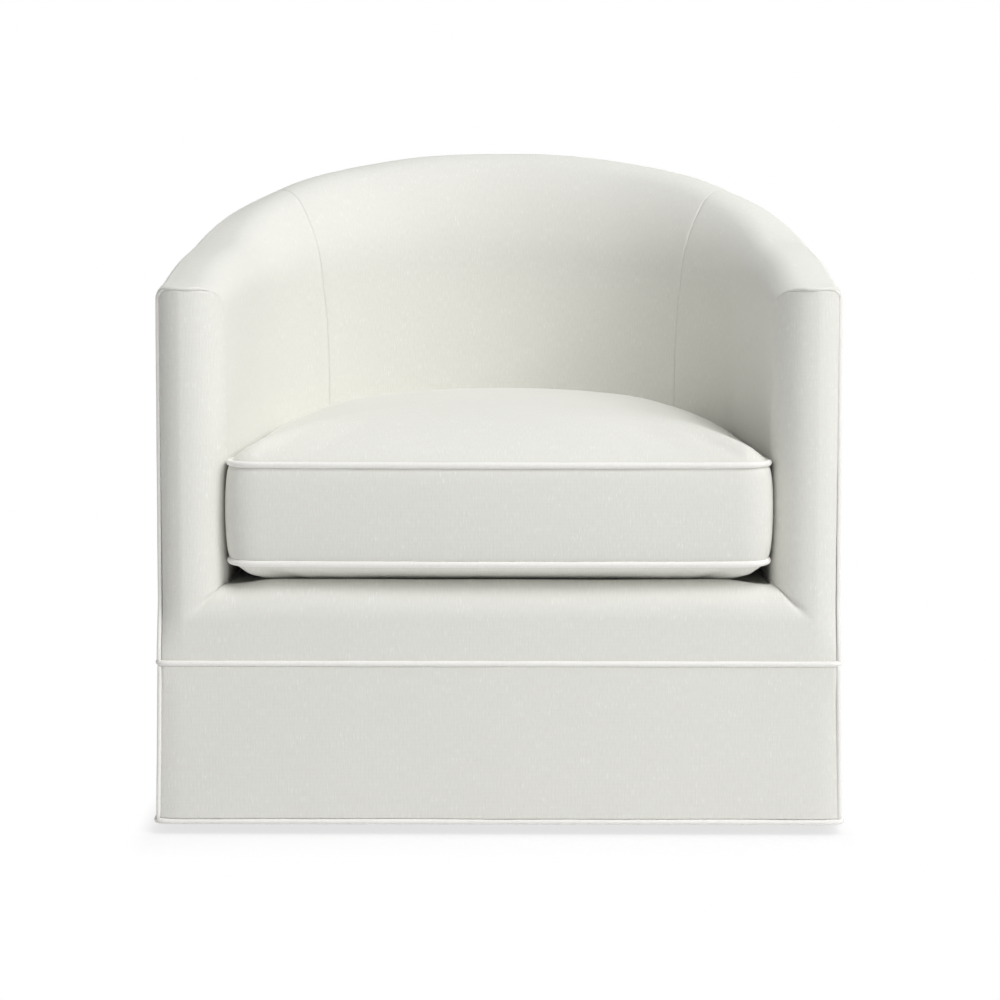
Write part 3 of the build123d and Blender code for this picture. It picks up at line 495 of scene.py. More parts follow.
# %% Inside arm panels
SIDES = (-1, "left"), (1, "right")
ARM_REACH = FRONT_PATH - SEAM_PATH
CAP_ROW, WAVE_FADE, FRONT_FINE = 4.2, 60.0, 30.0
arm_runs = (0, FINE, 1.5), (FINE, MEDIUM, 4), (MEDIUM, ARM_REACH - FRONT_FINE, 6)
share_lines = lines(*arm_runs, (ARM_REACH - FRONT_FINE, ARM_REACH, 1.0)) / ARM_REACH
for side, name in SIDES:
    arm, share, row = cut_panel(f"inside_arm_panel_{name}", share_lines, RIM_ROWS)
    inward, _, _ = over_rim(row, np.full_like(row, FRONT_PATH))
    end_path = FRONT_PATH - arm_front(np.minimum(HALF_WIDTH - inward, BORDER_OUT))
    seam = seam_line(row)
    path = side * (seam + share * (end_path - seam))
    lay_over_rim(arm, path, row, (side * 340, -100, 400))
    to_front = end_path - np.abs(path)
    on_cap = np.clip(CAP_ROW - row, 0, 1)
    fold = seam_fold(np.abs(path) - seam, row) + lip_fold(row) - on_cap * front_lip(to_front)
    push(arm, fold + padding(points_of(arm), PAD_WAVE) * np.clip(to_front / WAVE_FADE, 0, 1))
    thicken(arm, PAD_CLOTH)
    dress(arm, "chair", COVER, ivory_cloth, f"inside_arm_{name}")

# %% [markdown]
# ## Front border
# One U-shaped piece of padding faces both arm fronts and the front rail. Its inside edge rolls back towards the
# seat, and where the two rolls meet in the lower corners the cloth folds into a crease at 45 degrees. A bevel could
# round that edge, but its strips would bunch in the corners. So a grid is cut to a U, its points follow the two
# rolls, and whichever roll stands further forward wins, which leaves the crease as in real cloth.

# %% Front border
RAIL_ROLL, RAIL_DEPTH, RAIL_TOP = 40.0, 36.0, 284.8
RAIL_DIP, DIP_START, DIP_REACH = 5.8, 252.0, 52.0
# The seam under the cap starts beside the roll and lies a little lower than the cap.
SEAM_START, SEAM_REACH, SEAM_LOWER = 316.0, 10.0, 1.6
CREASE, CREASE_WIDTH, CREASE_FROM = 3.0, 3.0, 5.0
BAND_ROUND, ON_LEG, NOWHERE = 2.5, 0.01, 1e3
cap_rows = np.linspace(1, 4.98, 200)
cap_inward, cap_height, _ = over_rim(cap_rows, np.full_like(cap_rows, FRONT_PATH))


def rail_top(x):
    """Height of the rail's rolled top, which dips to the corners."""
    return RAIL_TOP - RAIL_DIP * smooth(np.clip((np.abs(x) - DIP_START) / DIP_REACH, 0, 1))


def arm_front_top(x):
    """Height of the arm front's top seam, which follows the cap over it."""
    return np.interp(HALF_WIDTH - np.abs(x), cap_inward, cap_height)


def roll_lines(width, *flat_runs):
    """Grid lines that crowd where a roll turns back, then run on over the flat."""
    quarter_turn = np.linspace(0, math.pi / 2, 29)
    return np.concatenate([width * (1 - np.cos(quarter_turn[:-1])), lines(*flat_runs)])


leg_lines = BORDER_IN + roll_lines(ROLL_WIDTH, (ROLL_WIDTH, 56, 3), (56, BORDER_OUT - BORDER_IN, 1.0))
rail_lines = roll_lines(RAIL_ROLL, (RAIL_ROLL, 76, 4), (76, RAIL_TOP - BAND_LINE, 1.2))
leg_rise = lines((0, 0.94, 0.016), (0.94, 1, 0.0035))
border_columns = np.concatenate([-leg_lines[::-1], spread(-BORDER_IN, BORDER_IN, 6)[1:-1], leg_lines])
border_rows = np.concatenate([-rail_lines[::-1], leg_rise[1:]])
border, x, row = cut_panel("front_border_pad", border_columns, border_rows)
seam_share = np.clip((np.abs(x) - SEAM_START) / SEAM_REACH, 0, 1)
top = arm_front_top(x) - SEAM_LOWER * seam_share
rolled = rail_top(x)
down_rail = rolled + row * (rolled - BAND_LINE) / (RAIL_TOP - BAND_LINE)
z = np.where(row <= 0, down_rail, rolled + np.clip(row, 0, 1) * (top - rolled))
leg_back = np.where(np.abs(x) >= BORDER_IN - ON_LEG, arm_roll(x), NOWHERE)
rail_back = np.where(row <= 0, rolled_edge(-row, RAIL_ROLL, RAIL_DEPTH), NOWHERE)
back = np.minimum(leg_back, rail_back)
crease = CREASE * np.exp(-(((leg_back - rail_back) / CREASE_WIDTH) ** 2)) * np.clip(back / CREASE_FROM, 0, 1)
back = np.where(back == NOWHERE, RAIL_DEPTH, back)
back = back + arm_front(np.maximum(np.abs(x), BORDER_IN + ROLL_WIDTH), z) + crease
back += seam_share * np.where(row > 0, front_lip(top - z), 0) + front_lip(z - BAND_LINE, BAND_ROUND)
move_points(border, np.stack([x, FRONT + back, z], 1) * MM)
lay_uv(border, x, z)
print("front border grid:", len(border_columns), "by", len(border_rows))

# %% [markdown]
# The grid still covers the seat's opening. Those faces are deleted, and the edge that is left is drawn straight back
# under the inside arms and the deck, where an upholsterer would tack it. Extruding that edge is all it takes.

# %% Cut the U and turn its inside edge back
BORDER_BACK, DECK_TOP, BORDER_WAVE = -300.0, 276.3, 0.25
NEAR, TUCK_ASIDE, TUCK_UNDER, TUCK_SLACK = 0.05, 0.8, 1.2, 0.5


def select_in_edit(piece, kind, chosen):
    """Go into edit mode with only the chosen edges or faces selected."""
    only(piece)
    kinds = {"VERT": piece.data.vertices, "EDGE": piece.data.edges, "FACE": piece.data.polygons}
    bpy.context.tool_settings.mesh_select_mode = [kind == k for k in kinds]
    for name, parts in kinds.items():
        parts.foreach_set("select", chosen if name == kind else [False] * len(parts))
    bpy.ops.object.mode_set(mode="EDIT")


above_rail = row > -1e-6
between = (BORDER_IN - 0.1) * MM
opening = [abs(f.center.x) < between and all(above_rail[list(f.vertices)]) for f in border.data.polygons]
select_in_edit(border, "FACE", opening)
bpy.ops.mesh.delete(type="FACE")
bpy.ops.object.mode_set(mode="OBJECT")
uses = np.bincount(read(border.data.loops, "edge_index", 1, int), minlength=len(border.data.edges))
ends = read(border.data.edges, "vertices", 2, int)
x, _, z = (points_of(border) / MM).T
near_leg = (np.abs(np.abs(x) - BORDER_IN) < NEAR) & (z > rail_top(BORDER_IN) - NEAR)
near_rail = (np.abs(z - rail_top(x)) < NEAR) & (np.abs(x) < BORDER_IN + NEAR)
inside_edge = (uses == 1) & (near_leg | near_rail)[ends].all(axis=1)
select_in_edit(border, "EDGE", inside_edge)
bpy.ops.mesh.extrude_edges_move(TRANSFORM_OT_translate={"value": (0, 10 * MM, 0)})
bpy.ops.object.mode_set(mode="OBJECT")
turned_in = points_of(border)
behind = np.array([v.select for v in border.data.vertices])
turned_in[behind, 1] = BORDER_BACK * MM
turned_in[behind, 0] += np.sign(turned_in[behind, 0]) * TUCK_ASIDE * MM
on_rail = behind & (turned_in[:, 2] < (rail_top(turned_in[:, 0] / MM) + TUCK_SLACK) * MM)
turned_in[on_rail, 2] = (DECK_TOP - TUCK_UNDER) * MM
move_points(border, turned_in)
face_out(border, (0, 0, 260))
push(border, padding(points_of(border), BORDER_WAVE))
thicken(border, PAD_CLOTH)
dress(border, "chair", COVER, ivory_cloth, "front_border")
print("edges turned back:", int(inside_edge.sum()))

# %% [markdown]
# ## Outside arms and back
# Outside, thin covers are stretched over the frame from the skirt's band up to the rim, where the cap laps over
# them. They could be offset from the frame's skin, but a cutting keeps the weave upright. They are tight sheets
# rather than pads, with a vertical seam on each side of the back.

# %% Outside covers
COVER_CLOTH, COVER_WAVE, COVER_INSET, COVER_LAP, WELT_GAP = 2.4, 0.2, 0.4, 0.4, 0.5
SIDE_FOLD, TOP_FOLD, FIRST_END = 2.4, 2.6, 20.0


def cover_height(path):
    """Height of an outside cover, from the band to where it goes under the rim's lip."""
    return over_rim(np.zeros_like(path), path)[1] + COVER_LAP - BAND_LINE


def outside_cover(name, side, node):
    """A stretched cover, pulled in at its seams: the back for side 0, else an arm as far as its front welt."""
    shares = lines((0, 0.03, 0.004), (0.03, 0.97, 0.013), (0.97, 1, 0.004))
    rows = lines((0, 0.04, 0.005), (0.04, 0.94, 0.03), (0.94, 1, 0.005))
    cover, share, row = cut_panel(name, shares, rows)
    path = SEAM_PATH * (2 * share - 1)
    if side:
        # Where an arm's cover ends depends on the height, so the heights come from a first guess of its end.
        path = side * (SEAM_PATH + share * (FRONT_PATH - FIRST_END - SEAM_PATH))
        welt_path = FRONT_PATH - arm_front(BORDER_OUT, BAND_LINE + row * cover_height(path)) - WELT_GAP
        path = side * (SEAM_PATH + share * (welt_path - SEAM_PATH))
    height = cover_height(path)
    z = BAND_LINE + row * height
    move_points(cover, stand(path, COVER_INSET, z))
    lay_uv(cover, path, z)
    face_out(cover, (0, 0, 400))
    side_fold = valley(np.abs(SEAM_PATH - np.abs(path)), SIDE_FOLD, FOLD_WIDTH)
    top_fold = valley((1 - row) * height, TOP_FOLD, FOLD_WIDTH)
    push(cover, np.minimum(side_fold, top_fold) + padding(points_of(cover), COVER_WAVE))
    thicken(cover, COVER_CLOTH)
    dress(cover, "chair", COVER, ivory_cloth, node)


outside_cover("outside_back_panel", 0, "outside_back")
outside_cover("outside_arm_panel_left", -1, "outside_arm_left")
outside_cover("outside_arm_panel_right", 1, "outside_arm_right")

# %% [markdown]
# ## Welts
# Corded welts finish the edges: up each arm front, round the top and the hem of the skirt, down its front corners,
# and round the seat cushion. A curve with a bevel would do, but a wrapped strip carries the bias weave along the
# cord. The strip is a grid again: one direction follows the cord's line, the other goes round it.

# %% Welt helper
WELT_RADIUS, WELT_SIDES = 3.5, 16


def travelled(line):
    """Length along a line of points, up to each point."""
    return np.concatenate([[0], np.cumsum(np.linalg.norm(np.diff(line, axis=0), axis=1))])


def close(piece, threshold):
    """Join the edges of a cutting that was laid into a closed shape, and turn its faces outwards."""
    in_edit(piece, bpy.ops.mesh.remove_doubles, threshold=threshold)
    in_edit(piece, bpy.ops.mesh.normals_make_consistent, inside=False)


def sew_welt(name, line, radius, body, nodes, closed=False):
    """A cord along a line of points in millimetres. Radius may be one value or one per point."""
    line = np.asarray(line, float)
    radius = np.broadcast_to(radius, len(line)).astype(float)
    if closed:
        line, radius = np.vstack([line, line[:1]]), np.append(radius, radius[:1])
        ahead = np.vstack([line[1:], line[1:2]]) - np.vstack([line[-2:-1], line[:-1]])
    else:
        ahead = np.gradient(line, axis=0)
    ahead /= np.linalg.norm(ahead, axis=1)[:, None]
    level = np.abs(ahead[:, 2]).max() < 0.5
    guide = np.array([0, 0, 1.0]) if level else np.array([0, 1.0, 0])
    side = np.cross(ahead, guide)
    side /= np.linalg.norm(side, axis=1)[:, None]
    over = np.cross(side, ahead)
    travel = travelled(line)
    welt, place, turn = cut_panel(name, np.arange(len(line)), np.linspace(0, 2 * math.pi, WELT_SIDES + 1))
    at = place.astype(int)
    ring = side[at] * np.cos(turn)[:, None] + over[at] * np.sin(turn)[:, None]
    wobble = 1 + 0.02 * np.sin(travel[at] / 17) + 0.015 * np.sin(travel[at] / 7.3 + 1)
    move_points(welt, (line[at] + ring * (radius[at] * wobble)[:, None]) * MM)
    lay_uv(welt, travel[at], turn * WELT_RADIUS)
    close(welt, 1e-6)
    dress(welt, body, WELT, welt_cloth_painted_highlight, *nodes)


def resample(line, step, closed=False):
    """The same line with points evenly spaced along it."""
    line = np.asarray(line, float)
    if closed:
        line = np.vstack([line, line[:1]])
    travel = travelled(line)
    marks = spread(0, travel[-1], step)
    if closed:
        marks = marks[:-1]
    return np.stack([np.interp(marks, travel, line[:, k]) for k in range(3)], 1)


# %% [markdown]
# The welt of an arm front is a fine one. It leaves the band a little outside the arm, climbs its outer edge, turns
# in under the cap and tapers away there. A mirror copy would twist the bias the other way, so only the line is
# mirrored, and each side is sewn on its own.

# %% Arm front welts
FINE_WELT, WELT_X, WELT_SPLAY, BAND_Z = 2.4, 378.8, 2.2, 195.2
RISE_BACK, TAIL_BACK, TAIL_END, TAIL_TAPER, START_TAPER, POINT = 0.6, 0.4, 370.0, 12.0, 2.0, 0.02
for side, name in SIDES:
    rise_z = np.arange(BAND_Z, cap_height[0] + 0.1, 2.5)
    splay = WELT_SPLAY * (1 - (rise_z - BAND_Z) / (ARM_TOP - BAND_Z))
    rise = np.stack([WELT_X + splay, FRONT + arm_front(BORDER_OUT, rise_z) + RISE_BACK, rise_z], 1)
    over = np.arange(WELT_X - 0.2, TAIL_END, -0.6)
    tail_y = FRONT + arm_front(np.minimum(over, BORDER_OUT)) + TAIL_BACK
    tail = np.stack([over, tail_y, arm_front_top(over) - SEAM_LOWER], 1)
    line = resample(np.vstack([rise, tail]) * [side, 1, 1], 2.5)
    left = np.linalg.norm(line - line[-1], axis=1)
    begun = np.linalg.norm(line - line[0], axis=1)
    thin = np.clip(left / TAIL_TAPER, POINT, 1) ** 0.7 * np.clip(begun / START_TAPER, POINT, 1)
    sew_welt(f"arm_front_welt_{name}", line, FINE_WELT * thin, "chair", [f"arm_welt_{name}"])

# %% [markdown]
# The skirt's two long welts go all the way round, square at the front and half round at the back. The hem's loop is
# a little wider, because the skirt flares. The welts could be offset from the panels' edges, but the panels hang
# from them, so they come first. A short fine welt covers each front corner, where the two panels meet.

# %% Skirt welts
SKIRT_WELT, BAND_HALF, BAND_CORNER, HEM_Z, FLARE = 3.1, 382.2, 10.0, 15.5, 3.5
CORNER_X, CORNER_Y, HEM_BACK = 379.8, -373.4, 0.8


def body_loop(half, start_y, z):
    """Line round the body at a height: square front with small corners, half-round back."""
    loop = []
    for side, first in ((-1, 180), (1, -90)):
        angle = np.radians(np.linspace(first, first + 90, 13))
        x, y = side * (half - BAND_CORNER), start_y + BAND_CORNER
        loop.append(np.stack([x + BAND_CORNER * np.cos(angle), y + BAND_CORNER * np.sin(angle)], 1))
    angle = np.linspace(0, math.pi, 90)
    loop.append(np.stack([half * np.cos(angle), SHOULDER_Y + half * np.sin(angle)], 1))
    loop = np.vstack(loop)
    return resample(np.column_stack([loop, np.full(len(loop), z)]), 4, closed=True)


for name, z, out, node in (
    ("skirt_band_welt", BAND_Z, 0, "skirt_top_welt"),
    ("skirt_hem_cord", HEM_Z, FLARE, "skirt_hem_welt"),
):
    sew_welt(name, body_loop(BAND_HALF + out, FRONT - out, z), SKIRT_WELT, "chair", [node], closed=True)

for side, name in SIDES:
    low_end = (side * (CORNER_X + FLARE), CORNER_Y - FLARE + HEM_BACK, HEM_Z)
    line = resample([low_end, (side * CORNER_X, CORNER_Y, BAND_Z)], 4)
    ends_gap = np.minimum(line[:, 2] - HEM_Z, BAND_Z - line[:, 2])
    nodes = ["skirt_corner_welts"] if side < 0 else []
    thin = np.clip(ends_gap / START_TAPER, POINT, 1)
    sew_welt(f"skirt_corner_welt_{name}", line, FINE_WELT * thin, "chair", nodes)

# %% [markdown]
# ## Skirt
# The skirt is two flat lined panels that hang from the band to just over the floor: one across the front, one round
# the sides and back. They hang straight, but cloth is never a board, so each has slow waves of about half a
# millimetre and turns in at its hem. A cloth simulation could hang them, but a lined, tacked skirt barely moves.

# %% Skirt panels
SKIRT_TOP, SKIRT_BOTTOM, SKIRT_OUT, HEM_ROUND, LINED_CLOTH = 193.0, 18.4, 1.5, 2.2, 2.2
front_half, wrap_reach, wrap_flare = 378.3, FRONT_PATH - 2.8, 2.7
# The front panel's ends turn back to the corner welts, less so near the band.
CORNER_TURN, TURN_REACH, TURN_DROP, END_ROUND, END_SHARE = 3.2, 26.0, 40.0, 5.0, 0.7
skirt_rows = lines((SKIRT_BOTTOM, 26, 1.0), (26, 186, 6), (186, SKIRT_TOP, 1.0))


def down(z):
    """Share of the way down the skirt."""
    return (SKIRT_TOP - z) / (SKIRT_TOP - SKIRT_BOTTOM)


def hang(piece, points, along, z, node):
    """Lay and finish a panel as it hangs: slow waves, a flare, and a tuck at the band and the hem."""
    move_points(piece, points)
    lay_uv(piece, along, z)
    face_out(piece, (0, 0, 100))
    wave = 0.55 * np.sin(along / 61 + 0.6) + 0.35 * np.sin(along / 27 + 1.9) * down(z)
    hem, band = front_lip(z - SKIRT_BOTTOM, HEM_ROUND), front_lip(SKIRT_TOP - z, HEM_ROUND)
    push(piece, wave * (0.3 + 0.7 * down(z)) + FLARE * down(z) - hem - band)
    thicken(piece, LINED_CLOTH)
    dress(piece, "chair", COVER, ivory_cloth, node)


end_lines = lines((-front_half, 8 - front_half, 0.8), (8 - front_half, 30 - front_half, 2))
front_lines = np.concatenate([end_lines, spread(30 - front_half, front_half - 30, 7)[1:-1], -end_lines[::-1]])
skirt_front, x, z = cut_panel("skirt_front_panel", front_lines, skirt_rows)
to_end = front_half - np.abs(x)
to_corner = np.clip(1 - to_end / TURN_REACH, 0, 1) ** 2 * np.clip((SKIRT_TOP - z) / TURN_DROP, 0.2, 1)
back = CORNER_TURN * to_corner + END_SHARE * front_lip(to_end, END_ROUND)
points = np.stack([x * (1 + FLARE * down(z) / front_half), FRONT - SKIRT_OUT + back, z], 1) * MM
hang(skirt_front, points, x, z, "skirt_front")

skirt_wrap, path, z = cut_panel("skirt_wrap_panel", lines((-wrap_reach, wrap_reach, 7)), skirt_rows)
points = stand(path * (1 + wrap_flare * down(z) / wrap_reach), -SKIRT_OUT, z)
hang(skirt_wrap, points, path, z, "skirt_wrap")

# %% [markdown]
# ## Deck
# Under the loose cushion the springs are covered by a tight deck of the same cloth over a thin pad. It is almost flat
# where the cushion rests. It could be left as its solid, since the cushion hides it, but it shows when the cushion is
# lifted out.

# %% Deck panel
DECK_FRONT, DECK_START, DECK_LAP, DECK_BELOW = 312.0, -330.0, 1.0, 0.2
DECK_SAG, SAG_END, SAG_REACH = 1.5, 270.0, 120.0


def seat_half(y):
    """Half the width between the inside walls, at a place along Y."""
    straight = DECK_FRONT - (y - FRONT) * ARM_LEAN
    bowed = np.sqrt(np.clip(INSIDE_RADIUS**2 - (y - INSIDE_Y) ** 2, 0, None))
    return np.where(y < INSIDE_Y + INSIDE_RADIUS * math.sin(LEAN_ANGLE), straight, bowed)


round_rows = INSIDE_Y + INSIDE_RADIUS * np.sin(np.linspace(0.54, 1.553, 30))
deck_rows = np.concatenate([spread(DECK_START, 120, 8), round_rows])
deck, across, y = cut_panel("deck_panel", np.linspace(-1, 1, 81), deck_rows)
x = across * (seat_half(y) + DECK_LAP)
sag = DECK_SAG * (1 - across**2)
sag = sag * np.clip((y - DECK_START) / SAG_REACH, 0, 1) * np.clip((SAG_END - y) / SAG_REACH, 0, 1)
move_points(deck, np.stack([x, y, DECK_TOP - DECK_BELOW - sag], 1) * MM)
lay_uv(deck, x, y)
face_out(deck, (0, 0, 0))
thicken(deck, LINED_CLOTH)
dress(deck, "chair", COVER, ivory_cloth, "deck_cover")

# %% [markdown]
# ## Seat cushion
# The cushion is a foam block in a sewn case: a top panel, a bottom panel and a boxing band between two welts. Foam
# pushes the panels out between the seams, so both crown, and the boxing swells a little. The upper seam falls slightly
# to the back. First comes the plan, then the case, laid as one cutting that is closed at the middle of both panels.

# %% Cushion outline and base
LOWER_SEAM, UPPER_SEAM, PITCH = 307.0, 418.5, 0.02
CUSHION_FRONT, CUSHION_BOW, CUSHION_CORNER = -369.0, 6.0, 38.0
CUSHION_GAP, CUSHION_REST, MIDDLE_Y = 5.5, 276.7, -60.0
# A crown and a belly are each a broad curve and a share of a tighter one at the seam.
CROWN_RISE, CROWN_REACH, CROWN_POWER, CROWN_EDGE, EDGE_SHARE = 48.0, 240.0, 0.78, 32.0, 0.24
BELLY_REACH, BELLY_EDGE, BELLY_SHARE = 150.0, 20.0, 0.15


def cushion_line(inset, step=4.0):
    """Plan of the cushion drawn in by an inset: bowed front, rounded corners, straight sides and round back."""
    radius = INSIDE_RADIUS - CUSHION_GAP - inset
    shoulder = np.array([radius * math.cos(LEAN_ANGLE), INSIDE_Y + radius * math.sin(LEAN_ANGLE)])
    front = CUSHION_FRONT + inset
    corner = np.array([shoulder[0] + (shoulder[1] - front) * ARM_LEAN, front])
    reach = CUSHION_CORNER + inset / 3
    down_side = (shoulder - corner) / np.linalg.norm(shoulder - corner)
    dip = CUSHION_BOW * (1 - (1 - reach / corner[0]) ** 2)
    start, end = corner - np.array([reach, dip]), corner + down_side * reach
    t = np.linspace(0, 1, 13)[:, None]
    bend = (1 - t) ** 2 * start + 2 * t * (1 - t) * corner + t**2 * end
    x = np.linspace(0, start[0], 60)[:-1]
    bow = np.stack([x, front - CUSHION_BOW * (1 - (x / corner[0]) ** 2)], 1)
    angle = np.linspace(LEAN_ANGLE, math.pi / 2, 60)
    back = np.stack([radius * np.cos(angle), INSIDE_Y + radius * np.sin(angle)], 1)
    half = np.vstack([bow, bend, back])
    loop = np.vstack([half, (half * [-1, 1])[::-1][1:-1]])
    return resample(np.column_stack([loop, 0 * loop[:, 0]]), step, closed=True)[:, :2]


def upper_seam(y):
    """Height of the upper seam, which falls a little towards the back of the seat."""
    return UPPER_SEAM - PITCH * (y - CUSHION_FRONT)


outline = cushion_line(0.0, step=3.0)
count = len(outline)
print("cushion outline points:", count)


def to_outline(plan):
    """Distance in millimetres from each point to the cushion's outline, and the outline's nearest point."""
    blocks = np.array_split(plan, max(1, len(plan) // 2000))
    gaps = [np.hypot(*(block[:, None] - outline[None]).transpose(2, 0, 1)) for block in blocks]
    return np.concatenate([g.min(1) for g in gaps]), np.concatenate([g.argmin(1) for g in gaps])


case, place, level = cut_panel("seat_cushion", np.arange(count + 1), np.linspace(0, 3, 91))
at = place.astype(int) % count
centre = np.array([0.0, MIDDLE_Y])
into = np.where(level < 1, 1 - level, np.where(level > 2, level - 2, 0))
shrink = 1 - np.sin(into * math.pi / 2)
plan = centre + (outline[at] - centre) * shrink[:, None]
distance, _ = to_outline(plan)
z = LOWER_SEAM + np.clip(level - 1, 0, 1) * (upper_seam(plan[:, 1]) - LOWER_SEAM)
crown = (1 - EDGE_SHARE) * (1 - np.clip(1 - distance / CROWN_REACH, 0, 1) ** 2) ** CROWN_POWER
crown = crown + EDGE_SHARE * quarter_round(distance, CROWN_EDGE)
belly = (1 - BELLY_SHARE) * quarter_round(distance, BELLY_REACH) + BELLY_SHARE * quarter_round(distance, BELLY_EDGE)
z += np.where(level > 2, CROWN_RISE * crown, 0) - np.where(level < 1, (LOWER_SEAM - CUSHION_REST) * belly, 0)
move_points(case, np.column_stack([plan, z]) * MM)
close(case, 1e-5)

# %% [markdown]
# Lofting would leave the case stiff. So it is remeshed into even quads, and Cloth's pressure swells it with the two
# seams pinned. How far it may move is capped, so that the crown keeps the height it was laid to.

# %% Swell the cushion
VOXEL, PIN_REACH, SWELL_CAP, SWELL_FRAMES = 6.5, 9.0, 5.0, 20
apply(case, "REMESH", mode="VOXEL", voxel_size=VOXEL * MM, adaptivity=0.0)


def seam_distance(points):
    """Distance in millimetres from the nearer of the cushion's two seams."""
    gap, _ = to_outline(points[:, :2] / MM)
    height = points[:, 2] / MM
    above = height - upper_seam(points[:, 1] / MM)
    return np.minimum(np.hypot(gap, above), np.hypot(gap, height - LOWER_SEAM))


start_points = points_of(case)
pins = case.vertex_groups.new(name="seams")
for index in np.flatnonzero(seam_distance(start_points) < PIN_REACH):
    pins.add([int(index)], 1.0, "REPLACE")
only(case)
cloth = case.modifiers.new("swell", "CLOTH")
cloth.settings.use_pressure = True
cloth.settings.uniform_pressure_force = 4.0
cloth.settings.vertex_group_mass = "seams"
cloth.settings.tension_stiffness = cloth.settings.compression_stiffness = 20.0
cloth.settings.bending_stiffness = 2.0
cloth.settings.effector_weights.gravity = 0.0
cloth.point_cache.frame_start, cloth.point_cache.frame_end = 1, SWELL_FRAMES
for step in range(1, SWELL_FRAMES + 1):
    bpy.context.scene.frame_set(step)
bpy.ops.object.modifier_apply(modifier=cloth.name)
bpy.context.scene.frame_set(1)
moved = points_of(case) - start_points
far = np.linalg.norm(moved, axis=1)
swollen = start_points + moved * np.minimum(1, SWELL_CAP * MM / np.maximum(far, 1e-9))[:, None]
print("cushion swelled by up to", round(far.max() / MM, 1), "mm, capped at", SWELL_CAP, "mm;", len(swollen), "points")

# %% [markdown]
# Between the arms the boxing can't swell freely: its fullness is set along the side, most at the front and least at
# the back, where it meets the inside back. The underside is kept flat where it rests on the deck.

# %% Settle the cushion on the deck and between the arms
FULL_AT, FULLNESS = (-370, -355, -150, 0, 132), (4.2, 5.2, 4.2, 3.8, 0.5)
BULGE_POWER, SEAM_INSET, BOXING_FROM, BOXING_RAMP = 0.6, 0.8, 10.0, 6.0
CASE_SEAM, CASE_SEAM_WIDTH = 2.0, 3.5
flat = swollen[:, :2] / MM
_, nearest = to_outline(flat)
outward = np.roll(outline, -1, axis=0) - np.roll(outline, 1, axis=0)
outward = np.stack([outward[:, 1], -outward[:, 0]], 1) / np.linalg.norm(outward, axis=1)[:, None]
beyond = ((flat - outline[nearest]) * outward[nearest]).sum(1)
up_boxing = np.clip((swollen[:, 2] / MM - LOWER_SEAM) / (upper_seam(flat[:, 1]) - LOWER_SEAM), 0, 1)
fullness = np.interp(flat[:, 1], FULL_AT, FULLNESS)
bulge = fullness * (4 * up_boxing * (1 - up_boxing)) ** BULGE_POWER - SEAM_INSET
on_boxing = np.clip((beyond + BOXING_FROM) / BOXING_RAMP, 0, 1) * (up_boxing > 0) * (up_boxing < 1)
swollen[:, :2] += outward[nearest] * (on_boxing * (bulge - beyond))[:, None] * MM
swollen[:, 2] = np.clip(swollen[:, 2], CUSHION_REST * MM, None)
move_points(case, swollen)
apply(case, "SUBSURF", levels=1, render_levels=1)
points = points_of(case)
points[:, 2] = np.clip(points[:, 2], CUSHION_REST * MM, None)
move_points(case, points)
push(case, valley(seam_distance(points), CASE_SEAM, CASE_SEAM_WIDTH))
print("cushion top:", round(float(points[:, 2].max()), 4), "m")

# %% [markdown]
# The case has a new mesh, so it needs a new UV map: the panels are woven along x and y, the boxing round its plan and
# up its height. At the back the boxing is pressed in by the zipper's thickness, which makes a bed for the tape.

# %% Cushion weave and zipper bed
ZIP_Z, ZIP_SWEEP, ZIP_RADIUS = 359.25, math.radians(62.0), 286.588
BED_HALF, BED_REACH, BED_DEPTH = 13.5, 12.0, 1.8
STEEP, SEAM_MARGIN, FRONT_MARGIN, BOXING_RADIUS = 0.75, 4.0, 12.0, 0.32
points = points_of(case)
bearing = np.arctan2(points[:, 0], points[:, 1] - INSIDE_Y * MM)
radius = np.hypot(points[:, 0], points[:, 1] - INSIDE_Y * MM)
bed = (np.abs(bearing) < ZIP_SWEEP) & (radius > (ZIP_RADIUS - BED_REACH) * MM)
bed &= np.abs(points[:, 2] / MM - ZIP_Z) < BED_HALF
pull = np.where(bed, np.minimum(1, (ZIP_RADIUS - BED_DEPTH) * MM / radius), 1)
points[:, 0] *= pull
points[:, 1] = INSIDE_Y * MM + (points[:, 1] - INSIDE_Y * MM) * pull
move_points(case, points)
if not case.data.uv_layers:
    case.data.uv_layers.new(name="UVMap")
x, y, z = points[read(case.data.loops, "vertex_index", 1, int)].T
upright = np.abs(read(case.data.polygons, "normal", 3)[:, 2]) < STEEP
banded = np.repeat(upright, read(case.data.polygons, "loop_total", 1, int))
banded &= (z > (LOWER_SEAM - SEAM_MARGIN) * MM) & (z < (upper_seam(y / MM) + SEAM_MARGIN) * MM)
facing = np.abs(y - CUSHION_FRONT * MM) < FRONT_MARGIN * MM
round_path = np.arctan2(x, -(y - MIDDLE_Y * MM)) * BOXING_RADIUS
flat = np.stack([np.where(banded & ~facing, round_path, x), np.where(banded, z, y)], 1)
case.data.uv_layers.active.data.foreach_set("uv", flat.ravel())
dress(case, "cushion", COVER, ivory_cloth, "cushion_top", "cushion_bottom", "cushion_boxing", "cushion_core")

# %% [markdown]
# Two welts cover the cushion's seams. Behind the front edge the upper one sinks a little into the soft crown.

